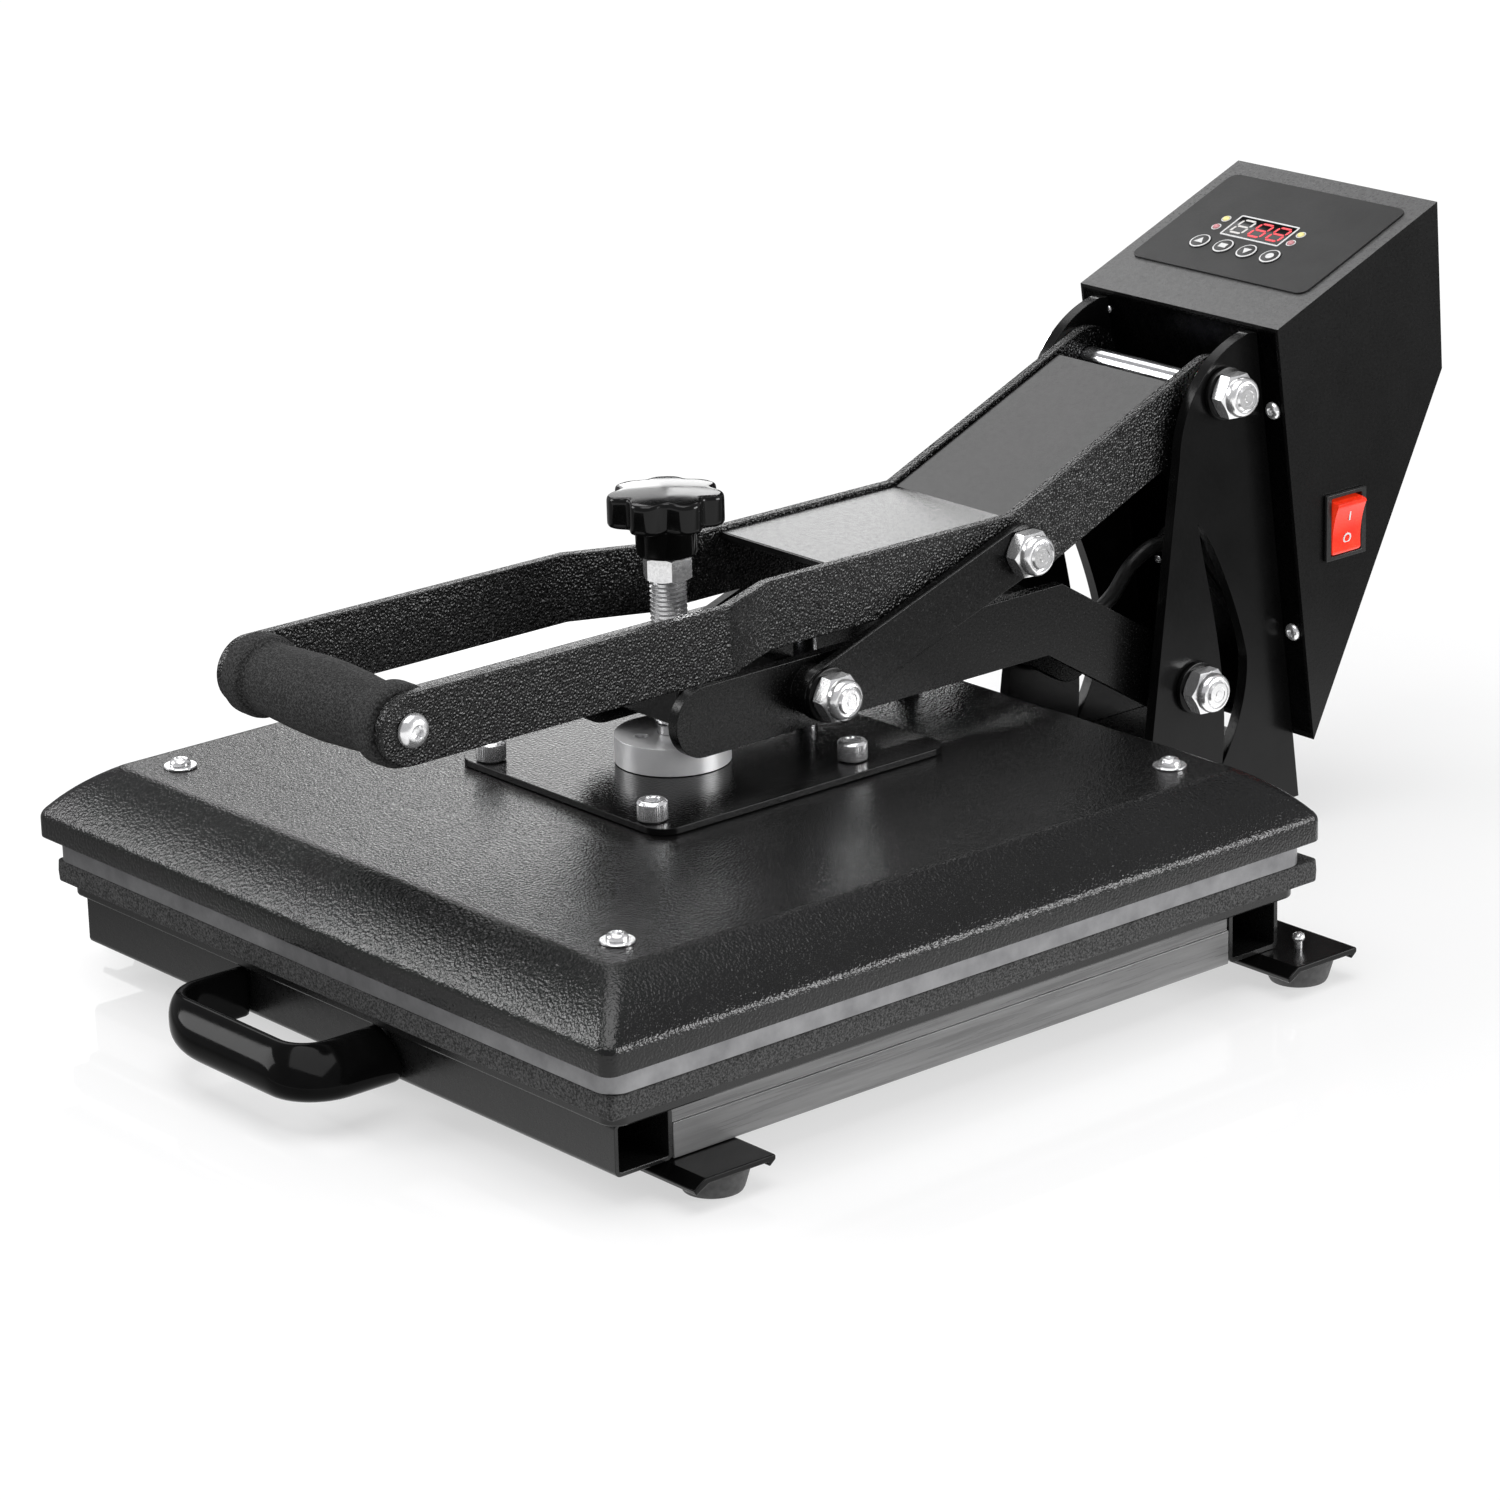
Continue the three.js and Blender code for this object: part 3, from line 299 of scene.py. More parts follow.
def plate_enamel():
    """The lever's top plate: a fine, even grain with a sheen."""
    n = Nodes("plate_enamel", 0.38).tint(25, 3, 0.0030, 0.0060).matte(400, 2, 0.17, 0.24)
    n.grain(1300, 2, 0.8, 0.05)
    return n.grain(2600, 1, 0.5, 0.02).material


def gloss_enamel():
    """Glossy black enamel with a slow orange peel."""
    n = Nodes("gloss_enamel", 0.15).tint(25, 3, 0.0030, 0.0050).matte(250, 2, 0.13, 0.18)
    return n.grain(800, 1, 0.9, 0.12).material


def bright_zinc():
    n = Nodes("bright_zinc").set(Metallic=0.86)
    n.tint(120, 3, (0.86, 0.86, 0.87), (0.96, 0.96, 0.96))
    n.matte(900, 3, 0.17, 0.27)
    return n.grain(300, 2, 0.08, 0.04).material


def polished_steel():
    """Drawn rod with faint lines along X."""
    n = Nodes("polished_steel").set(Metallic=1.0)
    n.tint(200, 2, (0.70, 0.71, 0.73), (0.82, 0.82, 0.83))
    lines = n.noise(1200, 3, stretch=(0.06, 1, 1))
    n.roughness(n.ramp(lines, 0.3, 0.7, 0.10, 0.24))
    return n.bump(lines, 0.06, 0.05).material


FACING_LINES = 9000  # the tool marks' phase in radians per metre, outwards across the face
TURNING_LINES = 12000  # and up the side


def turned_steel(centre):
    """Faced and turned metal: fine rings round an upright axis through centre."""
    n = Nodes("turned_steel").set(Metallic=0.5)
    shift = n.add("ShaderNodeMapping")
    point = frame_point(centre)
    shift.inputs["Location"].default_value = (-point.x, -point.y, 0)
    n.link(n.place, shift.inputs["Vector"])
    split = n.add("ShaderNodeSeparateXYZ")
    n.link(shift.outputs["Vector"], split.inputs["Vector"])
    squares = n.math("ADD", n.math("POWER", split.outputs["X"], 2), n.math("POWER", split.outputs["Y"], 2))
    radius = n.math("SQRT", squares, 0)
    rings = n.math("SINE", n.math("MULTIPLY", radius, FACING_LINES), 0)
    turns = n.math("SINE", n.math("MULTIPLY", split.outputs["Z"], TURNING_LINES), 0)
    relief = n.math("ADD", rings, turns)
    n.tint(90, 3, (0.88, 0.88, 0.89), (0.96, 0.96, 0.96))
    n.matte(600, 3, 0.28, 0.38)
    return n.bump(relief, 0.05, 0.01).material


def cast_plate():
    """The heating plate's edge: smooth grey cast aluminium with a dark anodised film."""
    n = Nodes("cast_plate").set(Metallic=0.8)
    n.tint(80, 4, (0.17, 0.17, 0.175), (0.26, 0.26, 0.265))
    n.matte(500, 3, 0.36, 0.48)
    return n.grain(1500, 2, 0.12, 0.05).material


def sponge_silicone():
    """Dark silicone sponge, speckled with pores."""
    n = Nodes("sponge_silicone", 0.35)
    n.color(n.ramp(n.noise(1100, 3, 0.7), 0.40, 0.66, 0.008, 0.085))
    n.matte(900, 2, 0.7, 0.95)
    n.bump(n.cells(1500, 0.4), 0.5, 0.25)
    return n.grain(4000, 2, 0.4, 0.1).material


def foam_rubber():
    """Closed-cell foam of the grip."""
    n = Nodes("foam_rubber", 0.25)
    n.color(n.ramp(n.noise(1200, 4, 0.85), 0.44, 0.62, 0.002, 0.060))
    n.matte(600, 2, 0.72, 0.90)
    n.bump(n.cells(1500, 0.5), 1.0, 0.16)
    return n.grain(700, 3, 0.6, 0.15).material


def foot_rubber():
    n = Nodes("foot_rubber", 0.35).tint(300, 4, 0.034, 0.056).matte(500, 3, 0.6, 0.8)
    return n.grain(1800, 3, 0.25, 0.08).material


def cable_sheath():
    n = Nodes("cable_sheath", 0.45).tint(200, 3, 0.010, 0.018).matte(400, 3, 0.32, 0.5)
    return n.grain(2500, 2, 0.2, 0.06).material


def gloss_plastic(name="gloss_plastic", shine=0.24):
    n = Nodes(name, shine).tint(50, 3, 0.0025, 0.0045).matte(250, 3, 0.08, 0.13)
    return n.grain(160, 1, 0.03, 0.15).material


def satin_plastic():
    n = Nodes("satin_plastic", 0.5).tint(80, 3, 0.007, 0.012).matte(600, 3, 0.30, 0.42)
    return n.grain(2400, 2, 0.18, 0.05).material


def fascia_film():
    """Printed polyester film over the controls, a dark grey."""
    n = Nodes("fascia_film", 0.16).tint(60, 3, 0.020, 0.028).matte(900, 3, 0.30, 0.40)
    return n.grain(3000, 2, 0.12, 0.04).material


def white_nylon():
    n = Nodes("white_nylon").set(Subsurface_Weight=0.15, Subsurface_Scale=0.002)
    n.tint(150, 3, (0.72, 0.72, 0.70), (0.82, 0.82, 0.80))
    n.matte(500, 3, 0.35, 0.5)
    return n.grain(1200, 2, 0.1, 0.05).material


def red_switch():
    """Translucent red cap, faintly lit from within."""
    n = Nodes("red_switch").set(Specular_IOR_Level=0.55, Coat_Weight=0.4, Coat_Roughness=0.08)
    n.set(Emission_Color=(1.0, 0.050, 0.010, 1), Emission_Strength=0.26, Subsurface_Weight=0.2)
    n.set(Subsurface_Radius=(0.004, 0.0006, 0.0005))
    n.tint(90, 3, (0.70, 0.014, 0.006), (0.85, 0.035, 0.012))
    n.matte(400, 2, 0.14, 0.24)
    return n.grain(700, 1, 0.05, 0.05).material


def lit(name, color, strength):
    n = Nodes(name).set(Emission_Color=(*color, 1), Emission_Strength=strength)
    n.tint(900, 2, [c * 0.7 for c in color], color)
    n.matte(600, 2, 0.2, 0.35)
    return n.material


def white_print():
    n = Nodes("white_print").tint(1500, 3, 0.55, 0.72).matte(900, 2, 0.35, 0.5)
    return n.grain(2500, 2, 0.1, 0.03).material


def woven_wool():
    """Ceramic-fibre blanket: soft tufts under a coarse weave."""
    n = Nodes("woven_wool").set(Sheen_Weight=0.3)
    n.tint(400, 4, (0.50, 0.48, 0.42), (0.70, 0.68, 0.62))
    n.matte(900, 2, 0.85, 1.0)
    return n.bump(n.cells(500, 0.5), 0.6, 0.6).material


BOSS = middle("spindle_boss")
COARSE = coarse_powder_coat()
FINE = fine_powder_coat()
SATIN = satin_powder_coat()
LID = lid_powder_coat()
RAIL = rolled_steel()
TUBE = tube_powder_coat()
ENAMEL = orange_peel_enamel()
GLOSS_ENAMEL = gloss_enamel()
PLATE_ENAMEL = plate_enamel()
ZINC = bright_zinc()
ROD = polished_steel()
TURNED = turned_steel(BOSS)
CAST = cast_plate()
SILICONE = sponge_silicone()
FOAM = foam_rubber()
RUBBER = foot_rubber()
CABLE = cable_sheath()
PLASTIC = gloss_plastic()
HANDLE_PLASTIC = gloss_plastic("handle_plastic", 0.07)
DARK_PLASTIC = satin_plastic()
FASCIA = fascia_film()
NYLON = white_nylon()
RED = red_switch()
WHITE = white_print()
WOOL = woven_wool()


# ---- Mesh helpers ----
TURN = 2 * math.pi
EDGE_ANGLE = 32  # degrees: an edge that bends more than this stays crisp or gets rounded
FLAT_ANGLE = math.radians(0.8)  # CAD faces closer than this to one plane become one face


def piece(name, vertices, faces, material, body, nodes=(), slot=None, smooth=35):
    """A named piece from points in millimetres, riding on a body and standing for CAD nodes.
    Edges that bend by less than smooth degrees are shaded as round."""
    mesh = bpy.data.meshes.new(name)
    mesh.from_pydata([frame_point(v) for v in vertices], [], faces)
    clean = bmesh.new()
    clean.from_mesh(mesh)
    bmesh.ops.remove_doubles(clean, verts=clean.verts, dist=1e-7)
    bmesh.ops.recalc_face_normals(clean, faces=clean.faces)
    clean.to_mesh(mesh)
    clean.free()
    return place(name, mesh, material, body, nodes, slot, smooth)


def place(name, mesh, material, body, nodes=(), slot=None, smooth=35):
    obj = bpy.data.objects.new(name, mesh)
    bpy.context.scene.collection.objects.link(obj)
    mesh.materials.clear()
    mesh.materials.append(material)
    mesh.shade_smooth()
    mesh.set_sharp_from_angle(angle=math.radians(smooth))
    if body:
        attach(obj, body)
    if nodes:
        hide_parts(*nodes)
    return obj


def apply_modifiers(obj):
    """Turns the object's modifiers into mesh."""
    graph = bpy.context.evaluated_depsgraph_get()
    mesh = bpy.data.meshes.new_from_object(obj.evaluated_get(graph))
    obj.modifiers.clear()
    obj.data = mesh


def refined(node, material, body, slot, edge, segments=2):
    """A finished copy of a CAD node: welded, with rounded edges that catch the light."""
    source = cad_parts[node].data
    work = bmesh.new()
    work.from_mesh(source)
    bmesh.ops.remove_doubles(work, verts=work.verts, dist=2e-6)
    bmesh.ops.dissolve_degenerate(work, edges=work.edges, dist=1e-6)
    bmesh.ops.dissolve_limit(work, angle_limit=FLAT_ANGLE, verts=work.verts, edges=work.edges)
    mesh = bpy.data.meshes.new(node + "_finished")
    work.to_mesh(mesh)
    work.free()
    obj = place(node + "_finished", mesh, material, body, [node], slot, EDGE_ANGLE)
    bevel = obj.modifiers.new("rounded edges", "BEVEL")
    bevel.width = edge * MM
    bevel.segments = segments
    bevel.limit_method = "ANGLE"
    bevel.angle_limit = math.radians(EDGE_ANGLE)
    bevel.use_clamp_overlap = True
    bevel.miter_outer = "MITER_ARC"
    weighted = obj.modifiers.new("flat faces stay flat", "WEIGHTED_NORMAL")
    weighted.keep_sharp = True
    weighted.weight = 90
    apply_modifiers(obj)


def rings_mesh(rings):
    """Faces between rings of equal length."""
    count = len(rings[0])
    vertices = [p for ring in rings for p in ring]
    faces = []
    for r in range(len(rings) - 1):
        for i in range(count):
            j = (i + 1) % count
            a, b = r * count, (r + 1) * count
            faces.append((a + i, a + j, b + j, b + i))
    return vertices, faces


def solid_of_rings(rings):
    """A closed solid through rings, capped at both ends."""
    vertices, faces = rings_mesh(rings)
    count = len(rings[0])
    faces.append(tuple(range(count - 1, -1, -1)))
    last = (len(rings) - 1) * count
    faces.append(tuple(range(last, last + count)))
    return vertices, faces


def turned(matrix, points):
    return [matrix @ Vector(p) for p in points]


def ring_piece(name, rings, matrix, material, body, nodes, slot, smooth, capped=False):
    """A piece through rings drawn in matrix's local frame, closed at both ends if capped."""
    vertices, faces = solid_of_rings(rings) if capped else rings_mesh(rings)
    return piece(name, turned(matrix, vertices), faces, material, body, nodes, slot, smooth)


def upright(x, y, z):
    return Matrix.Translation((x, y, z))


def along_x(x, y, z):
    """Local z runs along +X."""
    matrix = Matrix(((0, 0, 1), (1, 0, 0), (0, 1, 0))).to_4x4()
    matrix.translation = (x, y, z)
    return matrix


def along_minus_x(x, y, z):
    """Local z runs along -X."""
    matrix = Matrix(((0, 0, -1), (-1, 0, 0), (0, 1, 0))).to_4x4()
    matrix.translation = (x, y, z)
    return matrix


def facing(point, direction):
    """Local z runs along direction, local x stays level."""
    z = Vector(direction).normalized()
    x = Vector((1, 0, 0)) if abs(z.x) < 0.9 else Vector((0, 1, 0))
    y = z.cross(x).normalized()
    x = y.cross(z)
    matrix = Matrix((x, y, z)).transposed().to_4x4()
    matrix.translation = point
    return matrix


def round_ring(radius, z, steps):
    """A ring round local z. Its radius is a number or a function of the angle."""
    ring = []
    for i in range(steps):
        angle = TURN * i / steps
        r = radius(angle) if callable(radius) else radius
        ring.append((r * math.cos(angle), r * math.sin(angle), z))
    return ring


def round_rings(rows, steps):
    return [round_ring(radius, z, steps) for radius, z in rows]


def lathe(name, profile, matrix, material, body, nodes, slot, steps=72):
    """Turns a profile of (radius, height) points round local z. It starts and ends on the axis,
    or ends where it starts."""
    rings = round_rings(profile, steps)
    return ring_piece(name, rings, matrix, material, body, nodes, slot, EDGE_ANGLE)


def hex_radius(flats):
    sixth = TURN / 6

    def radius(angle):
        return flats / 2 / math.cos((angle % sixth) - sixth / 2)

    return radius


HEX_STEPS = 96


def hex_rings(flats, z0, z1, lower=True):
    """Rings of a hexagon between two heights. Its corners are chamfered at 30 degrees above,
    and below if lower is set."""
    circle = flats / 2 * 0.965
    slope = math.tan(math.radians(30))

    def row(z, sign, chamfered):
        ring = []
        for x, y, _ in round_ring(hex_radius(flats), 0, HEX_STEPS):
            drop = (math.hypot(x, y) - circle) * slope if chamfered else 0
            ring.append((x, y, z - sign * drop))
        return ring

    rings = [round_ring(circle, z0, HEX_STEPS)] if lower else []
    return rings + [row(z0, -1, lower), row(z1, 1, True), round_ring(circle, z1, HEX_STEPS)]


def rounded_square(x0, x1, y0, y1, radius, z, steps=8):
    """A ring round a rectangle with round corners."""
    ring = []
    corners = [(x1, y1, 0), (x0, y1, 1), (x0, y0, 2), (x1, y0, 3)]
    for x, y, quarter in corners:
        cx = x - radius if quarter in (0, 3) else x + radius
        cy = y - radius if quarter in (0, 1) else y + radius
        for i in range(steps + 1):
            angle = TURN / 4 * (quarter + i / steps)
            ring.append((cx + radius * math.cos(angle), cy + radius * math.sin(angle), z))
    return ring


def rounded_slab(x0, x1, y0, y1, z0, z1, corner, edge, bulge=0.0):
    """Rings of a flat slab with round corners, round edges and slightly bulging sides."""

    def ring(inset, z):
        radius = max(corner - inset, 0.3)
        return rounded_square(x0 + inset, x1 - inset, y0 + inset, y1 - inset, radius, z)

    quarter = [math.radians(a) for a in (0, 22.5, 45, 67.5, 90)]
    rings = [ring(edge * (1 - math.sin(a)), z0 + edge * (1 - math.cos(a))) for a in quarter]
    rings.append(ring(-bulge, (z0 + z1) / 2))
    rings += [ring(edge * (1 - math.cos(a)), z1 - edge * (1 - math.sin(a))) for a in quarter]
    return rings


def tube_rings(points, radius, sides):
    """Rings of a round tube along a smooth list of points that stay in a plane of constant x."""
    rings = []
    across = Vector((1, 0, 0))
    for i, point in enumerate(points):
        before, after = points[max(i - 1, 0)], points[min(i + 1, len(points) - 1)]
        up = (after - before).normalized().cross(across)
        angles = [TURN * k / sides for k in range(sides)]
        rings.append([point + (across * math.cos(a) + up * math.sin(a)) * radius for a in angles])
    return rings


def smooth_route(points, steps):
    """A Catmull-Rom curve through points, with steps between each pair."""
    padded = [points[0] * 2 - points[1], *points, points[-1] * 2 - points[-2]]
    route = []
    for a, b, c, d in zip(padded, padded[1:], padded[2:], padded[3:]):
        for i in range(steps):
            t = i / steps
            straight = 2 * b + (c - a) * t
            bend = (2 * a - 5 * b + 4 * c - d) * t * t + (3 * b - a - 3 * c + d) * t**3
            route.append(0.5 * (straight + bend))
    route.append(points[-1].copy())
    return route


# ---- Base ----
def build_base():
    for node, material, edge in (
        ("front_cross_tube", TUBE, 0.5),
        ("rear_cross_tube", TUBE, 0.5),
        ("side_rail_left", RAIL, 0.35),
        ("side_rail_right", RAIL, 0.35),
        ("rear_channel", TUBE, 0.35),
        ("foot_bar_front", SATIN, 0.6),
        ("foot_bar_rear", SATIN, 0.6),
        ("bed_plate", TUBE, 0.8),
    ):
        refined(node, material, "root", "satin_paint", edge)
    build_feet()
    build_pad()
    build_carry_handle()


def build_feet():
    for row in ("front", "rear"):
        for side in ("left", "right"):
            node = f"rubber_foot_{row}_{side}"
            x0, x1, y0, y1, z0, z1 = extent(node)
            top = (x1 - x0) / 2
            foot = top * 0.83  # the foot narrows downwards
            profile = [(0, z0 + 1.2), (4.0, z0 + 1.0), (5.0, z0), (foot - 1.6, z0), (foot - 0.6, z0 + 0.4)]
            profile += [(foot, z0 + 1.5), (foot + 0.5, z0 + 3), (top - 0.1, z1 - 1.0), (top, z1 - 0.5)]
            profile += [(top - 0.4, z1), (0, z1)]
            matrix = upright((x0 + x1) / 2, (y0 + y1) / 2, 0)
            lathe(node + "_moulded", profile, matrix, RUBBER, "root", [node], "rubber")


PAD_STEP = 8.0


def build_pad():
    """Silicone sponge: its sides bulge a little, and its edges are soft and not quite straight."""
    x0, x1, y0, y1, z0, z1 = extent("silicone_pad")
    bulge = 0.3
    rings = rounded_slab(x0 + bulge, x1 - bulge, y0 + bulge, y1 - bulge, z0, z1, 2.5, 0.9, bulge)
    dense = []
    for ring in rings:
        row = []
        for a, b in zip(ring, ring[1:] + ring[:1]):
            length = (Vector(b) - Vector(a)).length
            cuts = max(1, round(length / PAD_STEP))
            row += [Vector(a).lerp(Vector(b), k / cuts) for k in range(cuts)]
        dense.append(row)
    moved = []
    for row in dense:
        for p in row:
            soft = noise.noise(p * 0.03) * 0.22 + noise.noise(p * 0.15) * 0.06
            away = Vector((p.x, p.y - (y0 + y1) / 2, 0)).normalized()
            moved.append(p + away * soft)
    count = len(dense[0])
    rows = [moved[i : i + count] for i in range(0, len(moved), count)]
    vertices, faces = solid_of_rings(rows)
    pad = piece("silicone_sponge", vertices, faces, SILICONE, "root", ["silicone_pad"], "silicone", 50)


HANDLE_INNER = (-58.5, 29.6, -220.0, 13.0)  # left, right, front, corner radius
HANDLE_LEVELS = [  # left, right, front, left radius, right radius, height
    (-64.5, 38, -224.5, 38, 20, 14.0),
    (-68.4, 42.5, -228.4, 40, 22, 14.7),
    (-71.2, 45.6, -231, 42, 23.5, 16.6),
    (-72.9, 47.4, -232.7, 42.5, 24.5, 19.2),
    (-73.6, 48, -233.4, 42.5, 25, 22.2),
    (-73.1, 47, -233.1, 41, 25, 25.4),
    (-71.5, 44.8, -231.9, 36, 25, 28.6),
    (-69, 41.6, -229.9, 30, 23, 31.5),
    (-66, 38, -227.2, 23, 20.5, 34.2),
    (-63.4, 34.8, -224.7, 18, 17.5, 36.1),
    (-61.4, 32.4, -222.8, 15, 15, 36.95),
    (-59.6, 30.7, -221, 13.5, 13.5, 36.8),
]


def build_carry_handle():
    """A loop of glossy plastic whose section is thin along the top and full along the foot."""
    back = extent("carry_handle")[3]
    corner_steps = 14
    side_steps = 8

    def row(left, right, front, left_radius, right_radius, z):
        points = []
        for i in range(side_steps):
            y = back + (front + left_radius - back) * i / side_steps
            points.append(Vector((left, y, z)))
        for i in range(corner_steps + 1):
            angle = math.pi * (1 + 0.5 * i / corner_steps)
            x = left + left_radius + left_radius * math.cos(angle)
            points.append(Vector((x, front + left_radius + left_radius * math.sin(angle), z)))
        start, end = left + left_radius, right - right_radius
        for i in range(1, side_steps):
            points.append(Vector((start + (end - start) * i / side_steps, front, z)))
        for i in range(corner_steps + 1):
            angle = math.pi * (1.5 + 0.5 * i / corner_steps)
            x = right - right_radius + right_radius * math.cos(angle)
            points.append(Vector((x, front + right_radius + right_radius * math.sin(angle), z)))
        for i in range(side_steps):
            y = front + right_radius + (back - front - right_radius) * (i + 1) / side_steps
            points.append(Vector((right, y, z)))
        return points

    left, right, front, radius = HANDLE_INNER
    levels = [row(*level) for level in HANDLE_LEVELS]
    inner = [row(left, right, front, radius, radius, z) for z in (36.2, 30, 22, 15.6)]
    low = row(left - 1.2, right + 1.2, front - 1.2, radius + 1, radius + 1, 14.5)
    loops = levels + inner + [low]
    stations = [[loop[i] for loop in loops] for i in range(len(loops[0]))]
    vertices, faces = solid_of_rings(stations)
    name, nodes = "carry_handle_moulded", ["carry_handle"]
    handle = piece(name, vertices, faces, HANDLE_PLASTIC, "root", nodes, "gloss_plastic", 50)
    smooth = handle.modifiers.new("smooth", "SUBSURF")
    smooth.levels = smooth.render_levels = 1
    apply_modifiers(handle)


# ---- Uprights, arm, lever and links ----
def build_linkage():
    for side in ("left", "right"):
        refined(f"upright_{side}", SATIN, "root", "satin_paint", 0.45, 3)
        refined(f"arm_plate_{side}", FINE, "lower_arm", "wrinkle_paint", 0.5, 3)
        refined(f"lever_bar_{side}", COARSE, "lever", "wrinkle_paint", 0.5, 3)
        refined(f"link_{side}", FINE, "links", "wrinkle_paint", 0.5, 3)
        build_washer(side)
    refined("pressure_block", SATIN, "lower_arm", "satin_paint", 0.8)
    refined("lever_top_plate", PLATE_ENAMEL, "lever", "satin_paint", 0.6, 3)
    refined("grip_rod", ROD, "lever", "zinc", 0.5)
    build_foam_grip()
    build_grip_screws()


def build_washer(side):
    node = f"nylon_washer_{side}"
    x0, x1, y0, y1, z0, z1 = extent(node)
    outer, thick, bore, edge = (y1 - y0) / 2, x1 - x0, 6.4, 0.4
    profile = [(bore, 0), (outer - edge, 0), (outer, edge), (outer, thick - edge)]
    profile += [(outer - edge, thick), (bore, thick), (bore, 0)]
    matrix = along_x(x0, (y0 + y1) / 2, (z0 + z1) / 2)
    lathe(node + "_turned", profile, matrix, NYLON, "root", [node], "nylon")


GRIP_BORE = 8.3
GRIP_HALF = [  # the right half's outline: share of the full radius, share of the half length
    (0.954, 0), (0.948, 0.15), (0.925, 0.32), (0.890, 0.50), (0.862, 0.62), (0.850, 0.70), (0.852, 0.735),
    (0.872, 0.762), (0.955, 0.782), (0.988, 0.80), (1.0, 0.83), (1.0, 0.95), (0.992, 0.972), (0.965, 0.99),
    (0.92, 0.999),
]


def build_foam_grip():
    """A foam sleeve with a flange at each end and a waist that swells towards the middle."""
    x0, x1, _, _, z0, z1 = extent("foam_grip")
    half = (x1 - x0) / 2
    top = (z1 - z0) / 2
    fine = []
    for (r0, a0), (r1, a1) in zip(GRIP_HALF, GRIP_HALF[1:]):
        fine += [(r0 + (r1 - r0) * k / 3, a0 + (a1 - a0) * k / 3) for k in range(3)]
    fine.append(GRIP_HALF[-1])
    outline = [(r * top, a * half) for r, a in fine]
    outline += [(GRIP_BORE + 1.0, half), (GRIP_BORE, half - 0.6)]
    whole = [(r, -a) for r, a in reversed(outline[1:])] + outline
    rings = []
    for r, a in whole:
        ring = []
        for x, y, _ in round_ring(r, 0, 96):
            p = Vector((x, y, a))
            soft = noise.noise(p * 0.09) * 0.16 + noise.noise(p * 0.35) * 0.07
            scale = (r + soft) / r if r > GRIP_BORE + 2 else 1
            ring.append((x * scale, y * scale, a))
        rings.append(ring)
    rings.append(rings[0])
    matrix = along_x(*middle("foam_grip"))
    grip = ring_piece("foam_sleeve", rings, matrix, FOAM, "lever", ["foam_grip"], "foam", 60)


def socket_screw(name, matrix, radius, height, flats, depth, body):
    """A button-head screw with a hexagon socket; local z points out of its head."""
    mouth = flats / 2 / math.cos(math.radians(30)) * 1.06
    rows = [(0.0, 0), (radius * 0.9, 0), (radius, 0.25)]
    arc = 7
    for i in range(arc + 1):
        angle = i / arc * math.radians(78)
        rows.append((mouth + (radius - mouth) * math.cos(angle), 0.4 + (height - 0.4) * math.sin(angle)))
    hexagon = hex_radius(flats)
    floor = height - depth
    rows += [(mouth, height), (hexagon, height - 0.35), (hexagon, floor)]
    rows += [(flats * 0.2, floor - 0.5), (0.0, floor - 0.6)]
    ring_piece(name, round_rings(rows, 60), matrix, ZINC, body, (), "zinc", 30)


def build_grip_screws():
    grip = middle("foam_grip")
    outer = extent("lever_bar_right")[1]
    for side, matrix in (
        ("right", along_x(outer + 0.05, grip.y, grip.z)),
        ("left", along_minus_x(-outer - 0.05, grip.y, grip.z)),
    ):
        socket_screw(f"grip_screw_{side}", matrix, 7.2, 4.2, 5.0, 2.4, "lever")


# ---- Bolts and nuts ----
NUT_FLATS = 19.0
NUT_HEIGHT = 12.0
HEAD_HEIGHT = 7.2
BOLT_RADIUS = 6.0
BOLT_PITCH = 1.75
BOLT_PROUD = 0.7  # how far a bolt stands out of its nut
WASHER_RADIUS = 12.0
WASHER_THICK = 2.3
NUT_COLLAR = [  # the collar's rolled edge: inset from its side, depth below its top
    (0.0, 3.0), (0.12, 2.1), (0.5, 1.2), (1.1, 0.5), (1.8, 0.1), (2.3, 0.0), (2.6, 0.25), (2.7, 1.0)
]


def build_nut(name, matrix, body, nodes):
    """A lock nut: chamfered hexagon, round collar with a rolled edge, and its nylon ring."""
    hexagon = NUT_HEIGHT * 0.62
    collar = NUT_FLATS / 2 - 0.45
    rows = [(collar, hexagon + 0.1)]
    rows += [(collar - inset, NUT_HEIGHT - depth) for inset, depth in NUT_COLLAR]
    rows.append((0.0, NUT_HEIGHT - 1.0))
    rings = [round_ring(0.0, 0, HEX_STEPS)] + hex_rings(NUT_FLATS, 0, hexagon)
    rings += round_rings(rows, HEX_STEPS)
    ring_piece(name, rings, matrix, ZINC, body, nodes, "zinc", 28)


def build_plain_washer(name, matrix, body):
    """A stamped washer: one edge rounded by the punch, the other crisp."""
    outer, thick = WASHER_RADIUS, WASHER_THICK
    rows = [(0.0, 0), (outer - 0.15, 0), (outer, 0.2), (outer, thick - 0.5)]
    rows += [(outer - 0.15, thick - 0.15), (outer - 0.5, thick), (0.0, thick)]
    lathe(name, rows, matrix, SATIN, body, (), "zinc")


def build_bolt_end(name, matrix, start, end, body):
    """The threaded end of a bolt, with its start chamfered and a shallow dimple in its face."""
    radius, pitch = BOLT_RADIUS - 0.1, BOLT_PITCH
    rows = [(0.0, start), (radius, start)]
    for i in range(int((end - start - 1.2) / pitch)):
        z = start + i * pitch
        rows += [(radius, z + 0.35 * pitch), (radius * 0.88, z + 0.7 * pitch), (radius, z + pitch)]
    rows += [(radius, end - 0.9), (radius * 0.86, end), (radius * 0.62, end)]
    rows += [(radius * 0.58, end - 0.25), (radius * 0.3, end - 0.25), (radius * 0.26, end), (0.0, end)]
    lathe(name, rows, matrix, ZINC, body, (), "zinc", 60)


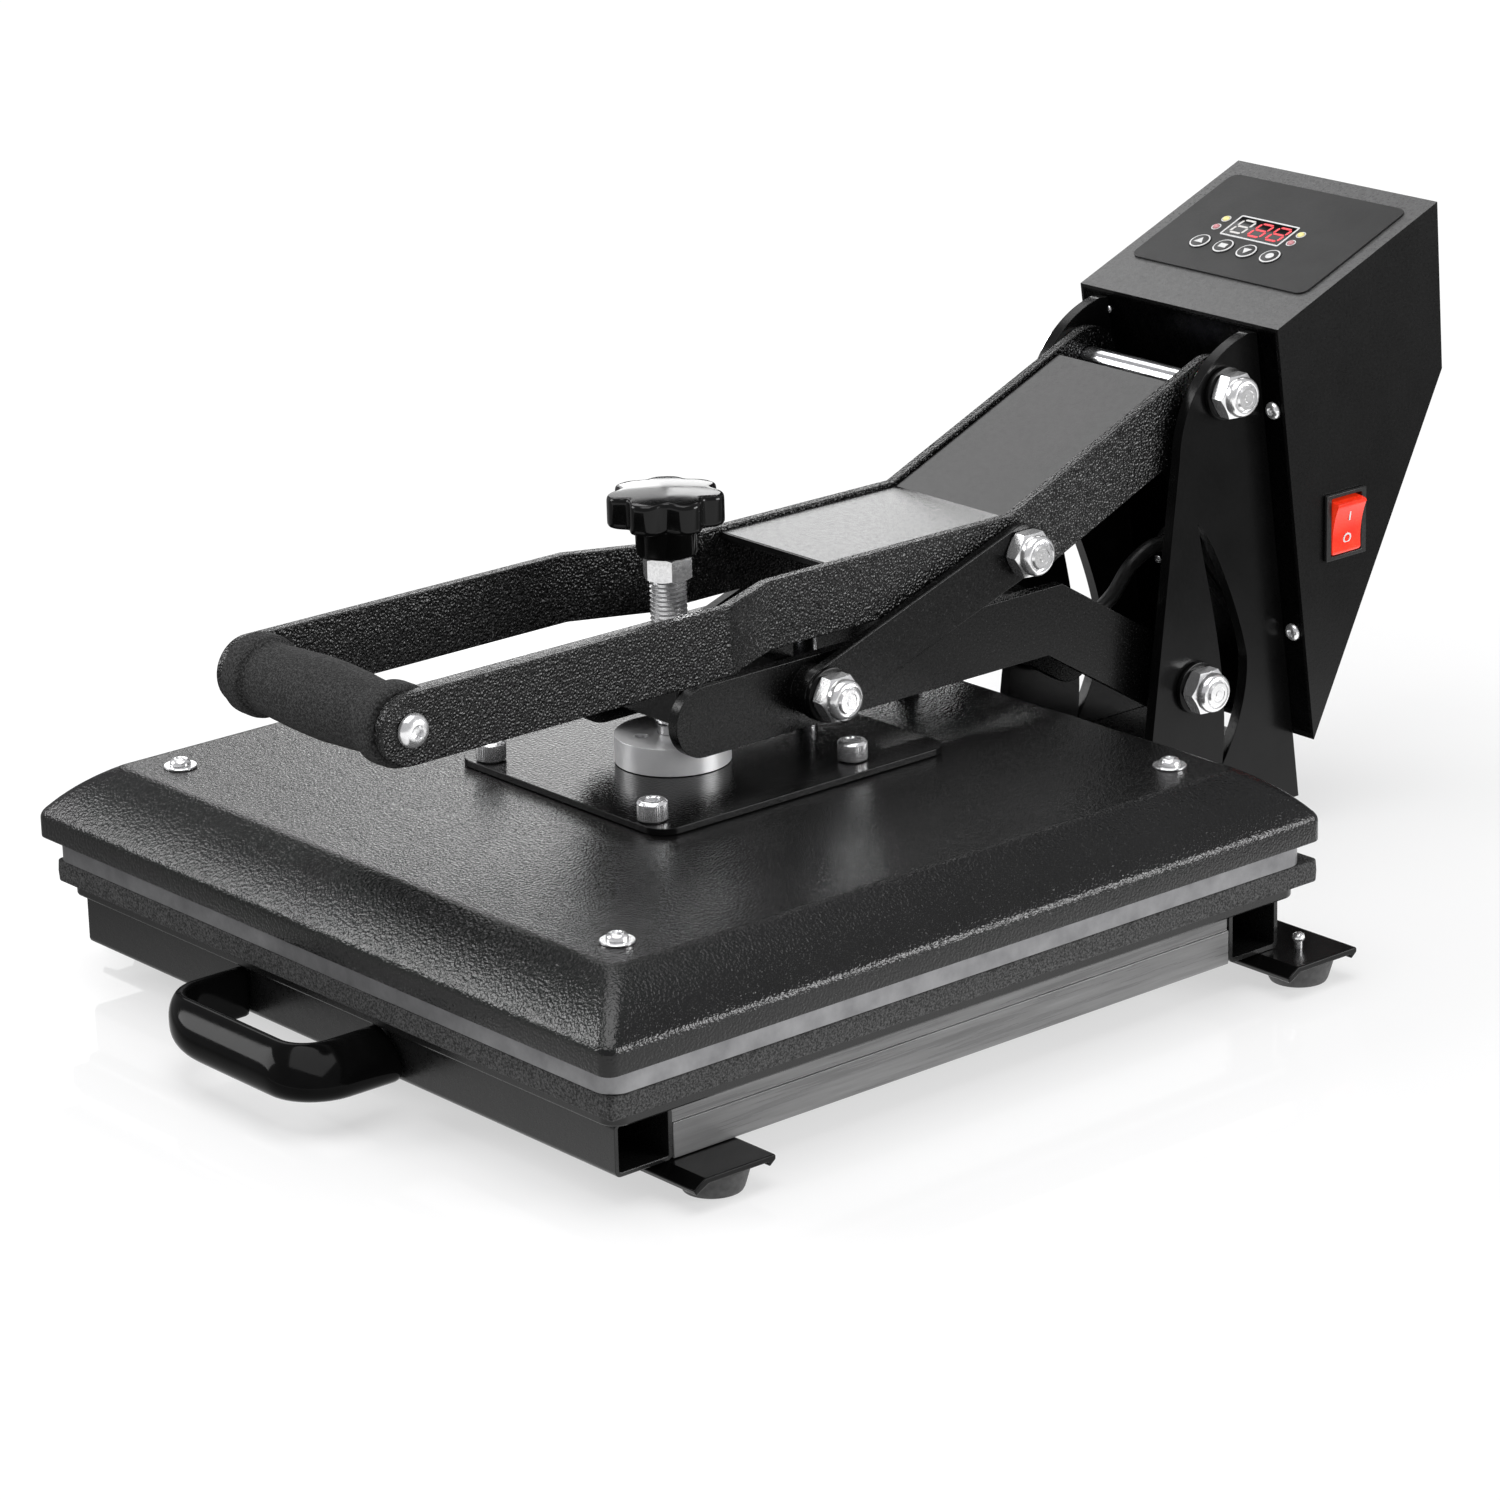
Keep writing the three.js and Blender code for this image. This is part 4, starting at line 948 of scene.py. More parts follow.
def build_head(name, matrix, body, nodes=()):
    """A hexagon bolt head on its washer face, with a shallow dish in its top."""
    radius = NUT_FLATS / 2
    rings = round_rings([(0.0, 0), (radius * 0.94, 0), (radius * 0.94, 0.5)], HEX_STEPS)
    rings += hex_rings(NUT_FLATS, 0.5, HEAD_HEIGHT, lower=False)
    dish = HEAD_HEIGHT - 0.15
    rings += round_rings([(radius * 0.6, HEAD_HEIGHT), (radius * 0.56, dish), (0.0, dish)], HEX_STEPS)
    ring_piece(name, rings, matrix, ZINC, body, nodes, "zinc", 28)


def build_cross_bolt(bolt, nut, body):
    """A bolt right through the linkage: head on the left, shank, and lock nut on the right."""
    _, y, z = middle(bolt)
    under_head = extent(bolt)[0] + HEAD_HEIGHT
    seat = extent(nut)[0]
    build_head(bolt + "_head", along_minus_x(under_head, y, z), body)
    radius = BOLT_RADIUS - 0.05
    shank = [(0.0, under_head - 1), (radius, under_head - 1), (radius, seat), (0.0, seat)]
    lathe(bolt + "_shank", shank, along_x(0, y, z), ROD, body, [bolt], "zinc")
    build_plain_washer(nut + "_washer", along_x(seat + 0.02, y, z), body)
    seat += WASHER_THICK + 0.04
    build_nut(nut + "_formed", along_x(seat, y, z), body, [nut])
    end = seat + NUT_HEIGHT + BOLT_PROUD
    build_bolt_end(bolt + "_end", along_x(0, y, z), seat + 6, end, body)


def build_link_pivots():
    """The links' upper pivots: stud and nut on the right, bolt head on the left."""
    _, y, z = middle("link_pivot_right")
    seat = extent("link_right")[1] + GAP
    build_nut("link_pivot_nut", along_x(seat, y, z), "links", ["link_pivot_right"])
    start, end = extent("link_pivot_right")[0], seat + NUT_HEIGHT + BOLT_PROUD
    build_bolt_end("link_pivot_stud", along_x(0, y, z), start, end, "links")
    _, y, z = middle("link_pivot_left")
    x0, x1 = extent("link_pivot_left")[:2]
    x0 += HEAD_HEIGHT
    build_head("link_pivot_head", along_minus_x(x0, y, z), "links", ["link_pivot_left"])
    shank = [(0.0, x0 - 1), (BOLT_RADIUS, x0 - 1), (BOLT_RADIUS, x1), (0.0, x1)]
    lathe("link_pivot_shank", shank, along_x(0, y, z), ROD, "links", (), "zinc")


def build_fasteners():
    build_cross_bolt("upper_pivot_bolt", "upper_pivot_nut", "root")
    build_cross_bolt("lower_pivot_bolt", "lower_pivot_nut", "root")
    build_cross_bolt("link_bolt", "link_nut", "lower_arm")
    build_link_pivots()
    build_cap_screws()
    build_cover_screws()
    build_foot_screws()


CAP_SCREW_HEAD = 8.5
CAP_SCREW_SHANK = 3.9
KNURL_RIDGES = 44


def build_cap_screws():
    """Socket cap screws with knurled heads and a visible stretch of shank."""
    for row in ("front", "rear"):
        for side in ("left", "right"):
            node = f"cap_screw_{row}_{side}"
            x0, x1, y0, y1, z0, z1 = extent(node)
            radius = (x1 - x0) / 2
            head = z1 - CAP_SCREW_HEAD

            def knurl(angle, r=radius):
                return r - 0.14 * (1 + math.cos(angle * KNURL_RIDGES)) / 2

            socket = hex_radius(6)
            rows = [(0.0, z0), (CAP_SCREW_SHANK, z0), (CAP_SCREW_SHANK, head), (radius - 0.5, head)]
            rows += [(radius - 0.2, head + 0.3), (knurl, head + 0.5), (knurl, z1 - 1.2)]
            rows += [(radius - 0.3, z1 - 0.9), (radius - 0.8, z1 - 0.25), (radius - 1.3, z1), (3.9, z1)]
            rows += [(socket, z1 - 0.5), (socket, z1 - 4.2), (0.0, z1 - 4.8)]
            rings = round_rings(rows, KNURL_RIDGES * 4)
            matrix = upright((x0 + x1) / 2, (y0 + y1) / 2, 0)
            ring_piece(node + "_knurled", rings, matrix, ZINC, "platen", [node], "zinc", 30)


COVER_SCREW_X = 148.0
COVER_SCREW_Y = 150.5


def build_cover_screws():
    top = extent("platen_cover")[5]
    thick = 1.05
    washer = [(0.0, 0.05), (6.9, 0.05), (7.2, 0.3), (7.2, 0.8), (6.9, thick), (0.0, thick)]
    for row, y in (("front", -COVER_SCREW_Y), ("rear", COVER_SCREW_Y)):
        for side, x in (("left", -COVER_SCREW_X), ("right", COVER_SCREW_X)):
            name = f"cover_screw_{row}_{side}"
            lathe(name + "_washer", washer, upright(x, y, top), ZINC, "platen", (), "zinc")
            socket_screw(name, upright(x, y, top + thick), 4.6, 3.0, 3.0, 1.8, "platen")


def build_foot_screws():
    """The rear feet's screws stand proud of their bar under a small round head."""
    bar_top = extent("foot_bar_rear")[5]
    for side in ("left", "right"):
        foot = middle(f"rubber_foot_rear_{side}")
        profile = [(0.0, 0.05), (1.8, 0.05), (1.8, 3.6), (2.5, 3.7), (2.7, 4.3), (2.65, 5.2), (2.3, 6.1)]
        profile += [(1.6, 6.7), (0.8, 7.0), (0.0, 7.05)]
        matrix = upright(foot.x, foot.y, bar_top)
        lathe(f"foot_screw_{side}", profile, matrix, ZINC, "root", (), "zinc")


# ---- Platen ----
def build_platen():
    build_cover()
    build_blanket()
    refined("heating_plate", CAST, "platen", "cast_aluminium", 0.8, 3)
    refined("mount_plate", GLOSS_ENAMEL, "platen", "cover_paint", 0.5, 3)
    refined("spindle_boss", TURNED, "platen", "turned_steel", 0.6, 3)
    build_guide_pin()


COVER_WALL = 2.0
COVER_CORNER = 6.0
COVER_BENDS = [  # slope before, slope after, radius, steps: into the bevel, the bevel's bulge, onto the top
    (90, 50, 6.0, 8),
    (50, 27, 75.5, 9),
    (27, 0, 8.0, 8),
]


def build_cover():
    """A pressed tray, upside down. Every bend has a radius, and the top is dead flat."""
    x0, x1, _, _, z0, z1 = extent("platen_cover")
    half = (x1 - x0) / 2
    rise = sum(r * (math.cos(math.radians(b)) - math.cos(math.radians(a))) for a, b, r, _ in COVER_BENDS)
    levels = [(half - 0.5, 5.6, z0), (half - 0.1, 5.9, z0 + 0.3), (half, 6, z0 + 0.8)]
    level, reach = z1 - rise, half
    for before, after, radius, steps in COVER_BENDS:
        a = math.radians(before)
        for i in range(steps + 1):
            b = math.radians(before + (after - before) * i / steps)
            inset = radius * (math.sin(a) - math.sin(b))
            lift = radius * (math.cos(b) - math.cos(a))
            levels.append((reach - inset, COVER_CORNER, level + lift))
        reach, _, level = levels[-1]
    for inset in (3, 20, 60):
        levels.append((reach - inset, max(COVER_CORNER - inset / 10, 2), z1))
    rings = [rounded_square(-h, h, -h, h, r, z, 10) for h, r, z in levels]
    inside = half - COVER_WALL
    low = [(inside, 4.2, z0), (inside, 4.2, z0 + 9), (reach - 3, 4.2, z1 - COVER_WALL)]
    inner = [rounded_square(-h, h, -h, h, r, z, 10) for h, r, z in low]
    vertices, faces = solid_of_rings(list(reversed(inner)) + rings)
    piece("cover_pressing", vertices, faces, ENAMEL, "platen", ["platen_cover"], "cover_paint", 40)


QUILT_CELLS = 8
QUILT_PUFF = 2.5
HEM_DROP = 3.5


def build_blanket():
    """A quilted blanket: its top and bottom puff up between rows of stitches."""
    x0, x1, y0, y1, z0, z1 = extent("insulation_blanket")
    grid = QUILT_CELLS * 6

    def puff(u, v):
        across, along = (math.sin(math.pi * QUILT_CELLS * share) for share in (u, v))
        return abs(across * along) ** 0.5

    def layer(base, direction):
        rows = []
        for j in range(grid + 1):
            for i in range(grid + 1):
                u, v = i / grid, j / grid
                edge = min(u, v, 1 - u, 1 - v)
                lift = direction * (QUILT_PUFF * puff(u, v) - HEM_DROP * max(0, 1 - edge * 14))
                rows.append((x0 + (x1 - x0) * u, y0 + (y1 - y0) * v, base + lift))
        return rows

    vertices = layer(z1 - 3, 1) + layer(z0 + 3.2, -1)
    count = grid + 1
    below = count * count
    faces = []
    for j in range(grid):
        for i in range(grid):
            a = j * count + i
            faces.append((a, a + 1, a + count + 1, a + count))
            faces.append((below + a, below + a + count, below + a + count + 1, below + a + 1))
    for i in range(grid):
        for a, b in (
            (i, i + 1),
            (grid * count + i + 1, grid * count + i),
            ((i + 1) * count, i * count),
            (i * count + grid, (i + 1) * count + grid),
        ):
            faces.append((a, below + a, below + b, b))
    blanket = piece("quilted_blanket", vertices, faces, WOOL, "platen", ["insulation_blanket"], "wool", 80)


def build_guide_pin():
    x0, x1, y0, y1, z0, z1 = extent("guide_pin")
    radius = (x1 - x0) / 2
    profile = [(0.0, z0), (radius, z0), (radius, z1 - 1.2), (radius - 1.0, z1 - 0.2)]
    profile += [(radius - 1.8, z1), (0.0, z1)]
    matrix = upright((x0 + x1) / 2, (y0 + y1) / 2, 0)
    lathe("guide_pin_ground", profile, matrix, ROD, "platen", ["guide_pin"], "zinc")


# ---- Spindle and knob ----
THREAD_PITCH = 2.0
THREAD_START = 116.0
HEX_BOTTOM = 179.0


def build_spindle():
    z0 = extent("spindle")[4]
    centre = middle("spindle")
    build_thread(centre)
    neck = [(0.0, z0), (6.2, z0), (6.2, THREAD_START - 2), (7.0, THREAD_START - 0.6)]
    neck.append((0.0, THREAD_START - 0.6))
    matrix = upright(centre.x, centre.y, 0)
    lathe("spindle_neck", neck, matrix, ZINC, "spindle", (), "zinc")
    hex_top = extent("star_knob")[4] - GAP
    rings = [round_ring(0.0, HEX_BOTTOM, HEX_STEPS)] + hex_rings(19.0, HEX_BOTTOM, hex_top)
    rings.append(round_ring(0.0, hex_top, HEX_STEPS))
    matrix = matrix @ Matrix.Rotation(math.radians(30), 4, "Z")
    ring_piece("spindle_hexagon", rings, matrix, ZINC, "spindle", (), "zinc", 28)


def build_thread(centre):
    """A real helix: each row of points climbs one pitch in a turn."""
    crest, root = 7.95, 6.75
    steps = 60
    rows_per_pitch = 6
    shape = [1.0, 1.0, 0.45, 0.0, 0.0, 0.5]
    top = HEX_BOTTOM + 0.2
    rows = int((top - THREAD_START) / THREAD_PITCH * rows_per_pitch) + rows_per_pitch + 1
    vertices = []
    for row in range(rows):
        depth = root + (crest - root) * shape[row % rows_per_pitch]
        for i in range(steps):
            angle = TURN * i / steps
            climb = row / rows_per_pitch - 1 + i / steps
            z = THREAD_START + climb * THREAD_PITCH
            radius = depth
            if z <= THREAD_START or z >= top:
                z, radius = min(max(z, THREAD_START), top), root
            x, y = radius * math.cos(angle), radius * math.sin(angle)
            vertices.append((centre.x + x, centre.y + y, z))
    faces = []
    for row in range(rows - 1):
        for i in range(steps - 1):
            a = row * steps + i
            faces.append((a, a + 1, a + steps + 1, a + steps))
    for row in range(rows - 1 - rows_per_pitch):
        a = row * steps + steps - 1
        b = (row + rows_per_pitch) * steps
        faces.append((a, b, b + steps, a + steps))
    piece("spindle_thread", vertices, faces, ZINC, "spindle", ["spindle"], "zinc", 25)


KNOB_LOBES = 7
KNOB_TURN = math.radians(-14.35)
KNOB_RADIUS = 25.0
KNOB_VALLEY = 4.6


def build_knob():
    """A seven-lobed star knob with crisp edges and a shallow dome, on a tapered hub."""
    z0, z1 = extent("star_knob")[4:]
    centre = middle("spindle")
    star = z0 + 13.6
    steps = KNOB_LOBES * 32

    def lobed(inset, depth=1.0):
        def radius(angle):
            wave = (1 - math.cos(KNOB_LOBES * (angle - KNOB_TURN))) / 2
            return KNOB_RADIUS - inset - depth * KNOB_VALLEY * wave**1.7

        return radius

    rows = [(0.0, z0), (12.4, z0), (12.9, z0 + 0.4), (13.1, z0 + 1.2), (13.4, star - 1.6)]
    rows += [(14.0, star - 0.5), (15.2, star), (lobed(3.2, 0.8), star), (lobed(1.2), star + 0.05)]
    rows += [(lobed(0.4), star + 0.4), (lobed(0.05), star + 1.1), (lobed(0.0), star + 2.4)]
    rings = round_rings(rows, steps)

    def domed(radius, drop):
        ring = []
        for x, y, _ in round_ring(radius, 0, steps):
            lift = 1.75 * (1 - (math.hypot(x, y) / KNOB_RADIUS) ** 2)
            ring.append((x, y, z1 + lift - drop))
        return ring

    rim = [(0.0, 2.6), (0.06, 1.6), (0.25, 0.85), (0.6, 0.35), (1.1, 0.08), (1.8, 0.0)]
    rings += [domed(lobed(inset), drop) for inset, drop in rim]
    rings += [domed(lobed(inset, depth), 0.0) for inset, depth in ((4.0, 0.85), (8.0, 0.5), (13.0, 0.15))]
    rings += [domed(r, 0.0) for r in (8.0, 4.0, 0.0)]
    name, matrix = "star_knob_moulded", upright(centre.x, centre.y, 0)
    ring_piece(name, rings, matrix, PLASTIC, "spindle", ["star_knob"], "gloss_plastic", 50)


# ---- Control box ----
BOX_TOP_FRONT = Vector((0, 301.6, 242.4))
BOX_TOP_BACK = Vector((0, 404.1, 283.2))
BOX_BOTTOM = Vector((0, 327.2, 45.4))
LID_SLOPE = math.atan2(BOX_TOP_BACK.z - BOX_TOP_FRONT.z, BOX_TOP_BACK.y - BOX_TOP_FRONT.y)


def lid_matrix(x=0.0, along=0.0, above=0.0):
    """A frame on the lid: x across, y up the slope, z out of the lid."""
    matrix = Matrix.Translation(BOX_TOP_FRONT) @ Matrix.Rotation(LID_SLOPE, 4, "X")
    return matrix @ Matrix.Translation((x, along, above))


def printed_mark(name, points, height, edge, matrix, body):
    """A thin raised white shape with a small chamfer, standing on local z = 0."""
    middle_point = sum((Vector(p) for p in points), Vector((0, 0))) / len(points)

    def ring(inset, z):
        result = []
        for p in points:
            away = Vector(p) - middle_point
            scale = 1 - inset / max(away.length, 0.01)
            q = middle_point + away * scale
            result.append((q.x, q.y, z))
        return result

    rings = [ring(0, 0), ring(0, height - edge), ring(edge, height)]
    ring_piece(name, rings, matrix, WHITE, body, (), "gloss_plastic", 30, capped=True)


SEGMENTS = [  # strokes of a seven-segment digit: column, row, whether it stands upright
    (0.5, 1.0, False),
    (1.0, 0.75, True),
    (1.0, 0.25, True),
    (0.5, 0.0, False),
    (0.0, 0.25, True),
    (0.0, 0.75, True),
    (0.5, 0.5, False),
]


def digit_parts(x, y, width, height):
    """The bars of an 8 whose lower left corner is at x, y, slanted a little."""
    parts = []
    thick = width * 0.17
    slant = 0.10
    for column, row, is_upright in SEGMENTS:
        cx, cy = x + column * width, y + row * height
        long = (height / 2 if is_upright else width) / 2 - thick * 0.35
        half = thick / 2
        shape = [(-long, 0), (-long + half, half), (long - half, half)]
        shape += [(long, 0), (long - half, -half), (-long + half, -half)]
        if is_upright:
            shape = [(b, a) for a, b in shape]
        ring = [(cx + a + (cy + b - y) * slant, cy + b) for a, b in shape]
        parts.append(solid_of_rings([[(a, b, z) for a, b in ring] for z in (0.0, 0.12)]))
    return parts


def build_digits(name, parts, matrix, material):
    """Several runs of (vertices, faces) as one piece of the display."""
    vertices, faces = [], []
    for some, more in parts:
        base = len(vertices)
        vertices += turned(matrix, some)
        faces += [tuple(i + base for i in face) for face in more]
    piece(name, vertices, faces, material, "root", (), "gloss_plastic")


def build_box():
    refined("box_cover", LID, "root", "satin_paint", 0.45, 3)
    refined("box_front_panel", SATIN, "root", "satin_paint", 0.3)
    refined("control_fascia", FASCIA, "root", "gloss_plastic", 0.25)
    refined("rocker_bezel", DARK_PLASTIC, "root", "gloss_plastic", 0.5)
    refined("power_inlet", DARK_PLASTIC, "root", "gloss_plastic", 0.35)
    build_display()
    build_lamps()
    build_keys()
    build_rocker()
    build_box_screws()
    build_gland()


FASCIA_TOP = 1.1  # height of the fascia's face above the lid
DISPLAY = (-23.0, 14.0, 54.0, 70.5)  # left, right, and how far up the lid it starts and ends
DISPLAY_BORDER = 0.9
DIGIT_HEIGHT = 0.62  # shares of the display's height
DIGIT_BASE = 0.19
DIGIT_WIDTH = 0.2  # shares of its width
DIGIT_PITCH = 0.305
DIGIT_START = 3.6  # from its left edge


def build_display():
    x0, x1, y0, y1 = DISPLAY
    matrix = lid_matrix(above=FASCIA_TOP)

    def border(inset, z):
        corner = max(1.0 - inset, 0.2)
        return rounded_square(x0 + inset, x1 - inset, y0 + inset, y1 - inset, corner, z, 3)

    loop = [(0, 0), (0, 0.25), (DISPLAY_BORDER, 0.25), (DISPLAY_BORDER, 0), (0, 0)]
    rings = [border(inset, z) for inset, z in loop]
    ring_piece("display_frame", rings, matrix, WHITE, "root", (), "gloss_plastic", 35)
    window = rounded_slab(x0 + 1, x1 - 1, y0 + 1, y1 - 1, 0.02, 0.2, 0.6, 0.05)
    ring_piece("display_window", window, matrix, PLASTIC, "root", (), "gloss_plastic", 35, capped=True)
    raised = lid_matrix(above=FASCIA_TOP + 0.2)
    height, width = (y1 - y0) * DIGIT_HEIGHT, (x1 - x0) * DIGIT_WIDTH
    base, pitch = y0 + (y1 - y0) * DIGIT_BASE, (x1 - x0) * DIGIT_PITCH
    pale, *red = [digit_parts(x0 + DIGIT_START + i * pitch, base, width, height) for i in range(3)]
    lit_red = lit("red_segments", (0.75, 0.035, 0.05), 0.55)
    lit_pale = lit("pale_segments", (0.62, 0.60, 0.58), 0.12)
    build_digits("display_digits", red[0] + red[1], raised, lit_red)
    build_digits("display_first_digit", pale, raised, lit_pale)


def build_lamps():
    """Four lamps beside the display: a small dome in a printed ring."""
    amber = lit("amber_lamp", (0.80, 0.70, 0.28), 0.25)
    red = lit("red_lamp", (0.55, 0.22, 0.24), 0.10)
    dome = [(0.0, 0.0), (1.7, 0.0), (1.65, 0.35), (1.3, 0.75), (0.7, 1.0), (0.0, 1.08)]
    ring = [(1.9, 0.0), (2.4, 0.0), (2.4, 0.14), (1.9, 0.14), (1.9, 0.0)]
    for side, x in (("left", -29), ("right", 18.4)):
        for row, along, material in (("upper", 65.6, amber), ("lower", 58.6, red)):
            matrix = lid_matrix(x, along, FASCIA_TOP + 0.02)
            lathe(f"lamp_{side}_{row}", dome, matrix, material, "root", (), "gloss_plastic", 32)
            lathe(f"lamp_ring_{side}_{row}", ring, matrix, WHITE, "root", (), "gloss_plastic", 40)


def arrow_points(size, sign):
    return [(-size, -sign * size * 0.6), (size, -sign * size * 0.6), (0, sign * size)]


KEY_ROW = 46.0  # distance of the keys up the lid
KEY_RADIUS = 5.35


def build_keys():
    """Domed keys, each with a printed ring and a plain mark."""
    for name in ("key_up", "key_set", "key_down", "key_enter"):
        x, radius = middle(name).x, KEY_RADIUS
        profile = [(0.0, -1.0), (5.1, -1.0), (5.1, 0.8), (radius, 0.9), (radius, 1.3)]
        profile += [(radius - 0.12, 1.45), (radius - 0.6, 1.6), (radius - 1.4, 1.72), (0.0, 1.85)]
        matrix = lid_matrix(x, KEY_ROW)
        lathe(name + "_cap", profile, matrix, DARK_PLASTIC, name, [name], "gloss_plastic", 56)
        ring = [(4.35, 1.6), (5.0, 1.5), (5.05, 1.62), (4.35, 1.78), (4.35, 1.6)]
        lathe(name + "_ring", ring, matrix, WHITE, name, (), "gloss_plastic", 56)
        if name in ("key_up", "key_down"):
            points = arrow_points(2.5, 1 if name == "key_up" else -1)
        elif name == "key_set":
            points = [(-2.2, -1.5), (2.2, -1.5), (2.2, 1.5), (-2.2, 1.5)]
        else:
            points = [point[:2] for point in round_ring(2.1, 0, 24)]
        printed_mark(name + "_mark", points, 0.16, 0.04, lid_matrix(x, KEY_ROW, 1.74), name)


ROCKER_TILT = math.radians(9)
ROCKER_HALF = (9.3, 12.3)  # half its width along Y and half its height
ROCKER_DEPTH = 3.8  # from the bezel's face back to the rocker's axis


def rocker_matrix():
    bezel = middle("rocker_bezel")
    x = extent("rocker_bezel")[1] - ROCKER_DEPTH
    place = Matrix.Translation((x, bezel.y, bezel.z))
    return place @ Matrix.Rotation(ROCKER_TILT, 4, "Y")


def build_rocker():
    """A dished rocker with a soft edge, and the two marks moulded into its face."""
    matrix = rocker_matrix()
    half_y, half_z = ROCKER_HALF
    rows = 24
    edge = 0.9

    def face(z):
        t = z / half_z
        return 4.4 + 1.7 * t * t

    stations = []
    for j in range(rows + 1):
        z = -half_z + 2 * half_z * j / rows
        near_end = max(0.0, (abs(z) - (half_z - edge)) / edge)
        top = face(z) - 0.55 * near_end**2
        shrink = 0.35 * near_end**2
        y = half_y - shrink
        ring = [(-3.4, -y * 0.9), (1.2, -y), (top - edge, -y), (top - 0.25 * edge, -y + 0.25 * edge)]
        ring += [(top, -y + edge), (top, 0), (top, y - edge), (top - 0.25 * edge, y - 0.25 * edge)]
        ring += [(top - edge, y), (1.2, y), (-3.4, y * 0.9)]
        stations.append([(a, b, z) for a, b in ring])
    cap = ("power_rocker", ["rocker"], "switch_red", 40)
    ring_piece("rocker_cap", stations, matrix, RED, *cap, capped=True)
    outwards = Matrix.Rotation(math.pi / 2, 4, "Y")
    on = matrix @ Matrix.Translation((face(5.5) + 0.02, 0, 5.6)) @ outwards
    stroke = [(-2.6, -0.45), (2.6, -0.45), (2.6, 0.45), (-2.6, 0.45)]
    printed_mark("rocker_on_mark", stroke, 0.25, 0.05, on, "power_rocker")
    off = matrix @ Matrix.Translation((face(5.6), 0, -5.6)) @ outwards
    ring = [(1.7, 0.0), (2.5, 0.0), (2.5, 0.3), (1.7, 0.3), (1.7, 0.0)]
    lathe("rocker_off_mark", ring, off, WHITE, "power_rocker", (), "gloss_plastic", 40)


PANEL_LEAN = math.atan2(BOX_BOTTOM.y - BOX_TOP_FRONT.y, BOX_TOP_FRONT.z - BOX_BOTTOM.z)


def panel_point(x, z, out=0.0):
    """A point on the front panel's face, moved outwards."""
    share = (z - BOX_BOTTOM.z) / (BOX_TOP_FRONT.z - BOX_BOTTOM.z)
    y = BOX_BOTTOM.y + (BOX_TOP_FRONT.y - BOX_BOTTOM.y) * share
    return Vector((x, y - out, z))


PANEL_NORMAL = Vector((0, -math.cos(PANEL_LEAN), -math.sin(PANEL_LEAN)))


def build_box_screws():
    places = [("upper_right", 56, 203.4), ("lower_right", 56, 97), ("upper_left", -56, 203.4)]
    places += [("lower_left", -56, 97), ("inner_upper", -45.2, 233), ("inner_lower", -28.7, 114)]
    for name, x, z in places:
        matrix = facing(panel_point(x, z, 0.1), PANEL_NORMAL)
        radius = 2.0 if name.startswith("inner") else 4.1
        height, flats, depth = radius * 0.6, radius * 0.7, radius * 0.3
        socket_screw(f"panel_screw_{name}", matrix, radius, height, flats, depth, "root")


def build_gland():
    """Cable gland: a hexagon against the panel and a domed cap with grip ribs."""
    x0, x1, y0, y1, _, _ = extent("cable_gland")
    centre = middle("cable_gland")
    radius = (x1 - x0) / 2
    length = y1 - y0

    def ribs(base):
        return lambda angle: base - 0.25 * (0.5 + 0.5 * math.cos(24 * angle))

    hex_start = length - 11.4
    hex_end = hex_start + 4.4
    rings = round_rings([(3.9, 0), (5.6, 0), (5.6, hex_start - 0.5)], HEX_STEPS)
    rings += hex_rings(radius * 1.7, hex_start, hex_end)
    rows = [(ribs(radius - 0.7), hex_end + 0.3), (ribs(radius - 1.0), length)]
    rows += [(radius - 2.0, length + 1.6), (4.6, length + 2.6), (3.9, length + 2.6), (3.9, 0)]
    rings += round_rings(rows, HEX_STEPS)
    name, matrix = "cable_gland_formed", facing((centre.x, y1, centre.z), (0, -1, 0))
    ring_piece(name, rings, matrix, DARK_PLASTIC, "root", ["cable_gland"], "zinc", 30)


# ---- Heater cable ----
CABLE_X = -12.0
CABLE_RADIUS = 3.5
CABLE_ROUTE = [  # y and z, from the gland to the cover
    (307.5, 128), (296, 127.5), (283, 121), (272, 110), (258, 103), (243, 104), (226, 112),
    (208, 122), (190, 128.5), (172, 130), (157, 124), (147.5, 112), (145, 98), (145, 90.5),
]


def build_cable():
    """The heater's lead, held at the box and at the cover."""
    points = [Vector((CABLE_X, y, z)) for y, z in CABLE_ROUTE]
    rings = tube_rings(smooth_route(points, 8), CABLE_RADIUS, 20)
    vertices, faces = solid_of_rings(rings)
    cable = piece("heater_cable_sheath", vertices, faces, CABLE, None, ["heater_cable"], "cable_rubber", 60)
    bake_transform(cable)
    top = extent("platen_cover")[5]
    profile = [(4.5, -1.8), (5.0, -1.8), (5.0, 0.1), (7.4, 0.1), (7.6, 0.6), (7.0, 1.4), (5.9, 2.0)]
    profile += [(5.4, 4.5), (4.9, 5.0), (4.5, 5.0), (4.5, -1.8)]
    matrix = upright(CABLE_X, CABLE_ROUTE[-1][0], top)
    lathe("cable_grommet", profile, matrix, RUBBER, "platen", (), "rubber")


# ---- Floor and light ----
FLOOR_SIZE = 4.0
FLOOR_DROP = 0.0004  # keeps the floor clear of the feet's undersides


